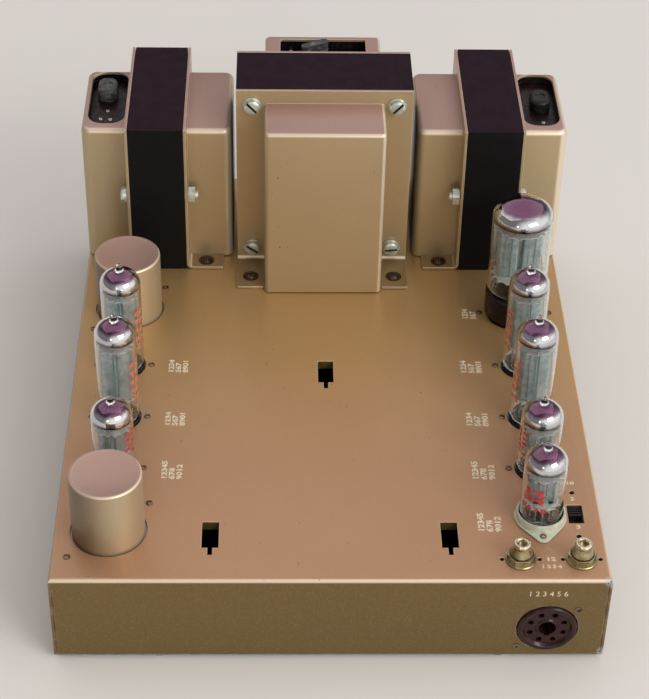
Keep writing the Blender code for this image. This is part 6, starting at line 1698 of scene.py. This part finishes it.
def make_plug(word, finish):
    """A two-pin plug with a dished top."""
    node = word + "_impedance_plug"
    high, centre = span(node)[1:]
    width, length, height = PLUG
    at = Matrix.Translation((centre.x, centre.y, high.z - height))
    corner, edge = PLUG_ROUND
    body = Shape(at).prism(rounded(width, length, corner), 0.0, height).bevel(at_height(height), edge)
    across, depth = PLUG_DISH
    floor, rim = height - depth, height + depth
    profile = [(0.0, floor), (across / 2 - depth, floor), (across / 2, rim), (0.0, rim)]
    dish = Shape(at).turned(profile, ROUND)
    piece(node + "_body", body, finish, word + "_plug", cuts=[dish], replaces=(node,))
    pins = Shape(at)
    add_pins(pins, [(0.0, side * CONTACT_PITCH / 2) for side in (-1, 1)], PLUG_PIN)
    piece(node + "_pins", pins, BRASS, word + "_plug")


def make_knob():
    """The voltage knob: a milled disc, a raised bar and its pivot."""
    node = "voltage_selector_knob"
    high, centre = span(node)[1:]
    turn = Matrix.Rotation(KNOB_ANGLE, 4, "Z")
    at = Matrix.Translation((centre.x, centre.y, high.z - KNOB_HEIGHT)) @ turn
    across, thick, tooth = KNOB_DISC
    disc = Shape(at).prism(pointed(across / 2 - tooth, tooth, KNOB_TEETH), 0.0, thick)
    length, width, edge = KNOB_BAR
    bar = Shape(at).prism(rounded(length, width, width / 2 - MERGE), thick / 2, KNOB_HEIGHT)
    bar.bevel(at_height(KNOB_HEIGHT), edge)
    radius, drop = KNOB_PIVOT
    pivot = Shape(at).prism(circle(2 * radius, SMALL), -drop, thick / 2)
    # The knob takes the pale grey moulding in place of black, which paints the highlight along its bar.
    piece("voltage_knob_bar", disc, GREY, "voltage_knob", adds=[bar, pivot], replaces=(node,))


# Rear face

def strip_back():
    """Where the terminal strip's back lies."""
    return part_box("speaker_terminal_strip")[1].y - TERMINAL_HEAD[1] - TERMINAL_WASHER[1] - STRIP[2]


def make_strip():
    """The speaker strip with its washers and slotted screws."""
    node = "speaker_terminal_strip"
    centre, back = middle(node), strip_back()
    width, height, sheet, corner = STRIP
    board = Shape().prism(rounded(width, height, corner, (centre.x, centre.z)), back, back + sheet, "y")
    piece("terminal_board", board, BOARD, replaces=(node,), soften=SOFT_EDGE)
    washers, screws, slots = Shape(), Shape(), Shape()
    reach, rise = TERMINAL_WASHER[0], TERMINAL_HEAD[1]
    tail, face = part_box(node)[0].y, back + sheet
    seat = face + TERMINAL_WASHER[1]
    screw = scaled(HEAD_SHARES, *TERMINAL_HEAD, seat)[:-1]
    screw += [(TERMINAL_SHANK, seat), (TERMINAL_SHANK, tail), (0.0, tail)]
    for x, z in terminal_places():
        washers.turned(scaled(COLLAR_SHARES, *TERMINAL_WASHER, face), ROUND, (x, 0.0, z), "y")
        screws.turned(screw, ROUND, (x, 0.0, z), "y")
        low = (x - reach, seat + rise / 2, z - SLOT_HALF)
        slots.block(low, (x + reach, seat + 2 * rise, z + SLOT_HALF))
    piece("terminal_washers", washers, BRASS)
    piece("terminal_screws", screws, ZINC, cuts=[slots])


def make_inlet():
    """The recessed two-pin inlet with its fixing screws."""
    node = "mains_inlet"
    low, high, centre = span(node)
    x, z, face = centre.x, centre.z, high.y
    width, height, corner = INLET_FLANGE
    flange = Shape().prism(rounded(width, height, corner, (x, z)), REAR + GAP, face, "y")
    body = Shape().prism(rectangle(*INLET_BODY, (x, z)), low.y, REAR + GAP + INLET_WALL, "y")
    sides = [side - 2 * INLET_WALL for side in INLET_BODY]
    mouth = rounded(*sides, INLET_WALL, (x, z))
    recess = Shape().prism(mouth, face - INLET_RECESS, face + OVERRUN, "y")
    piece("inlet_moulding", flange, BLACK, "amplifier", [body], [recess], (node,), SOFT_EDGE)
    pins, screws, slots = Shape(), Shape(), Shape()
    radius, length = INLET_PIN
    head, rise = INLET_SCREW
    root, seat = face - INLET_PIN_SETBACK - length, face - rise / 2
    for side in (-1, 1):
        spot = (x + side * INLET_PIN_REACH, root, z)
        pins.turned(scaled(PIN_SHARES, radius, -length), ROUND, spot, "y")
        at = x + side * INLET_SCREW_REACH
        screws.turned(scaled(COLLAR_SHARES, head, rise, seat), ROUND, (at, 0.0, z), "y")
        slots.block((at - SLOT_HALF, face, z - 2 * head), (at + SLOT_HALF, face + OVERRUN, z + 2 * head))
    piece("inlet_pins", pins, ZINC)
    piece("inlet_screws", screws, ZINC, cuts=[slots])


# Nodes that keep their CAD shape

def dress(name, finish, soften=0.0):
    """Gives a CAD node a finish and rounded edges."""
    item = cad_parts[name]
    item.data.materials.clear()
    item.data.materials.append(finish)
    if soften:
        soften_edges(item, soften)


def make_inside():
    """The nodes inside the covers and under the tray."""
    dress("tag_board", BOARD)
    for name in ("mains_winding", "left_output_winding", "right_output_winding"):
        dress(name, WINDING)


# Stage, lights and camera

def make_stage():
    """A plain pale floor."""
    mesh = bpy.data.meshes.new("floor")
    mesh.from_pydata([(*spot, 0.0) for spot in rectangle(FLOOR_SIDE, FLOOR_SIDE)], [], [(0, 1, 2, 3)])
    floor = bpy.data.objects.new("floor", mesh)
    bpy.context.scene.collection.objects.link(floor)
    f = Finish("floor", "gold_paint")
    colour = f.mix(f.noise(FLOOR_MOTTLE), tone(226, 223, 219), tone(231, 228, 224))
    mesh.materials.append(f.done(Base_Color=colour, Roughness=0.8, Specular_IOR_Level=0.2))


def area_light(name, place, size, power, colour):
    """A soft rectangular lamp aimed at the amplifier."""
    lamp = bpy.data.lights.new(name, "AREA")
    lamp.shape = "RECTANGLE"
    lamp.size, lamp.size_y = size
    lamp.energy = power
    lamp.color = colour
    item = bpy.data.objects.new(name, lamp)
    item.location = place
    item.rotation_euler = (Vector(LIGHT_TARGET) - Vector(place)).to_track_quat("-Z", "Y").to_euler()
    bpy.context.scene.collection.objects.link(item)


def make_lights():
    """The lamps, and a world that is bright in front and on the right."""
    for lamp in LAMPS:
        area_light(*lamp)
    world = bpy.data.worlds.new("studio")
    world.use_nodes = True
    sky = Nodes(world.node_tree)
    facing = sky.vector("DOT_PRODUCT", sky.add("TexCoord", "Generated"), SKY_SIDE)
    colour = sky.mix(sky.band(facing, *SKY_FADE), DIM_SKY, BRIGHT_SKY)
    sky.feed(sky.tree.nodes["Background"].inputs["Color"], colour)
    bpy.context.scene.world = world


def make_camera():
    """A camera at the photograph's place, pitch, yaw and roll."""
    lens = bpy.data.cameras.new("camera")
    lens.sensor_width = SENSOR_WIDTH
    lens.lens = FOCAL_PIXELS / IMAGE_LONG_SIDE * SENSOR_WIDTH
    camera = bpy.data.objects.new("camera", lens)
    bpy.context.scene.collection.objects.link(camera)
    turn = Matrix.Rotation(-CAMERA_YAW, 4, "Z") @ Matrix.Rotation(math.pi / 2 - CAMERA_PITCH, 4, "X")
    camera.matrix_world = Matrix.Translation(CAMERA_PLACE) @ turn @ Matrix.Rotation(-CAMERA_ROLL, 4, "Z")
    bpy.context.scene.camera = camera
    bpy.context.scene.view_settings.view_transform = "Standard"


make_camera()
make_stage()
make_lights()
make_chassis()
make_rivets()
make_bottom()
make_numbers()
make_novals()
make_rectifier()
make_cans()
make_phonos()
make_switch()
make_slider()
make_outlet()
make_mains()
make_output("left", -1)
make_output("right", 1)
make_panels()
make_strip()
make_inlet()
make_inside()
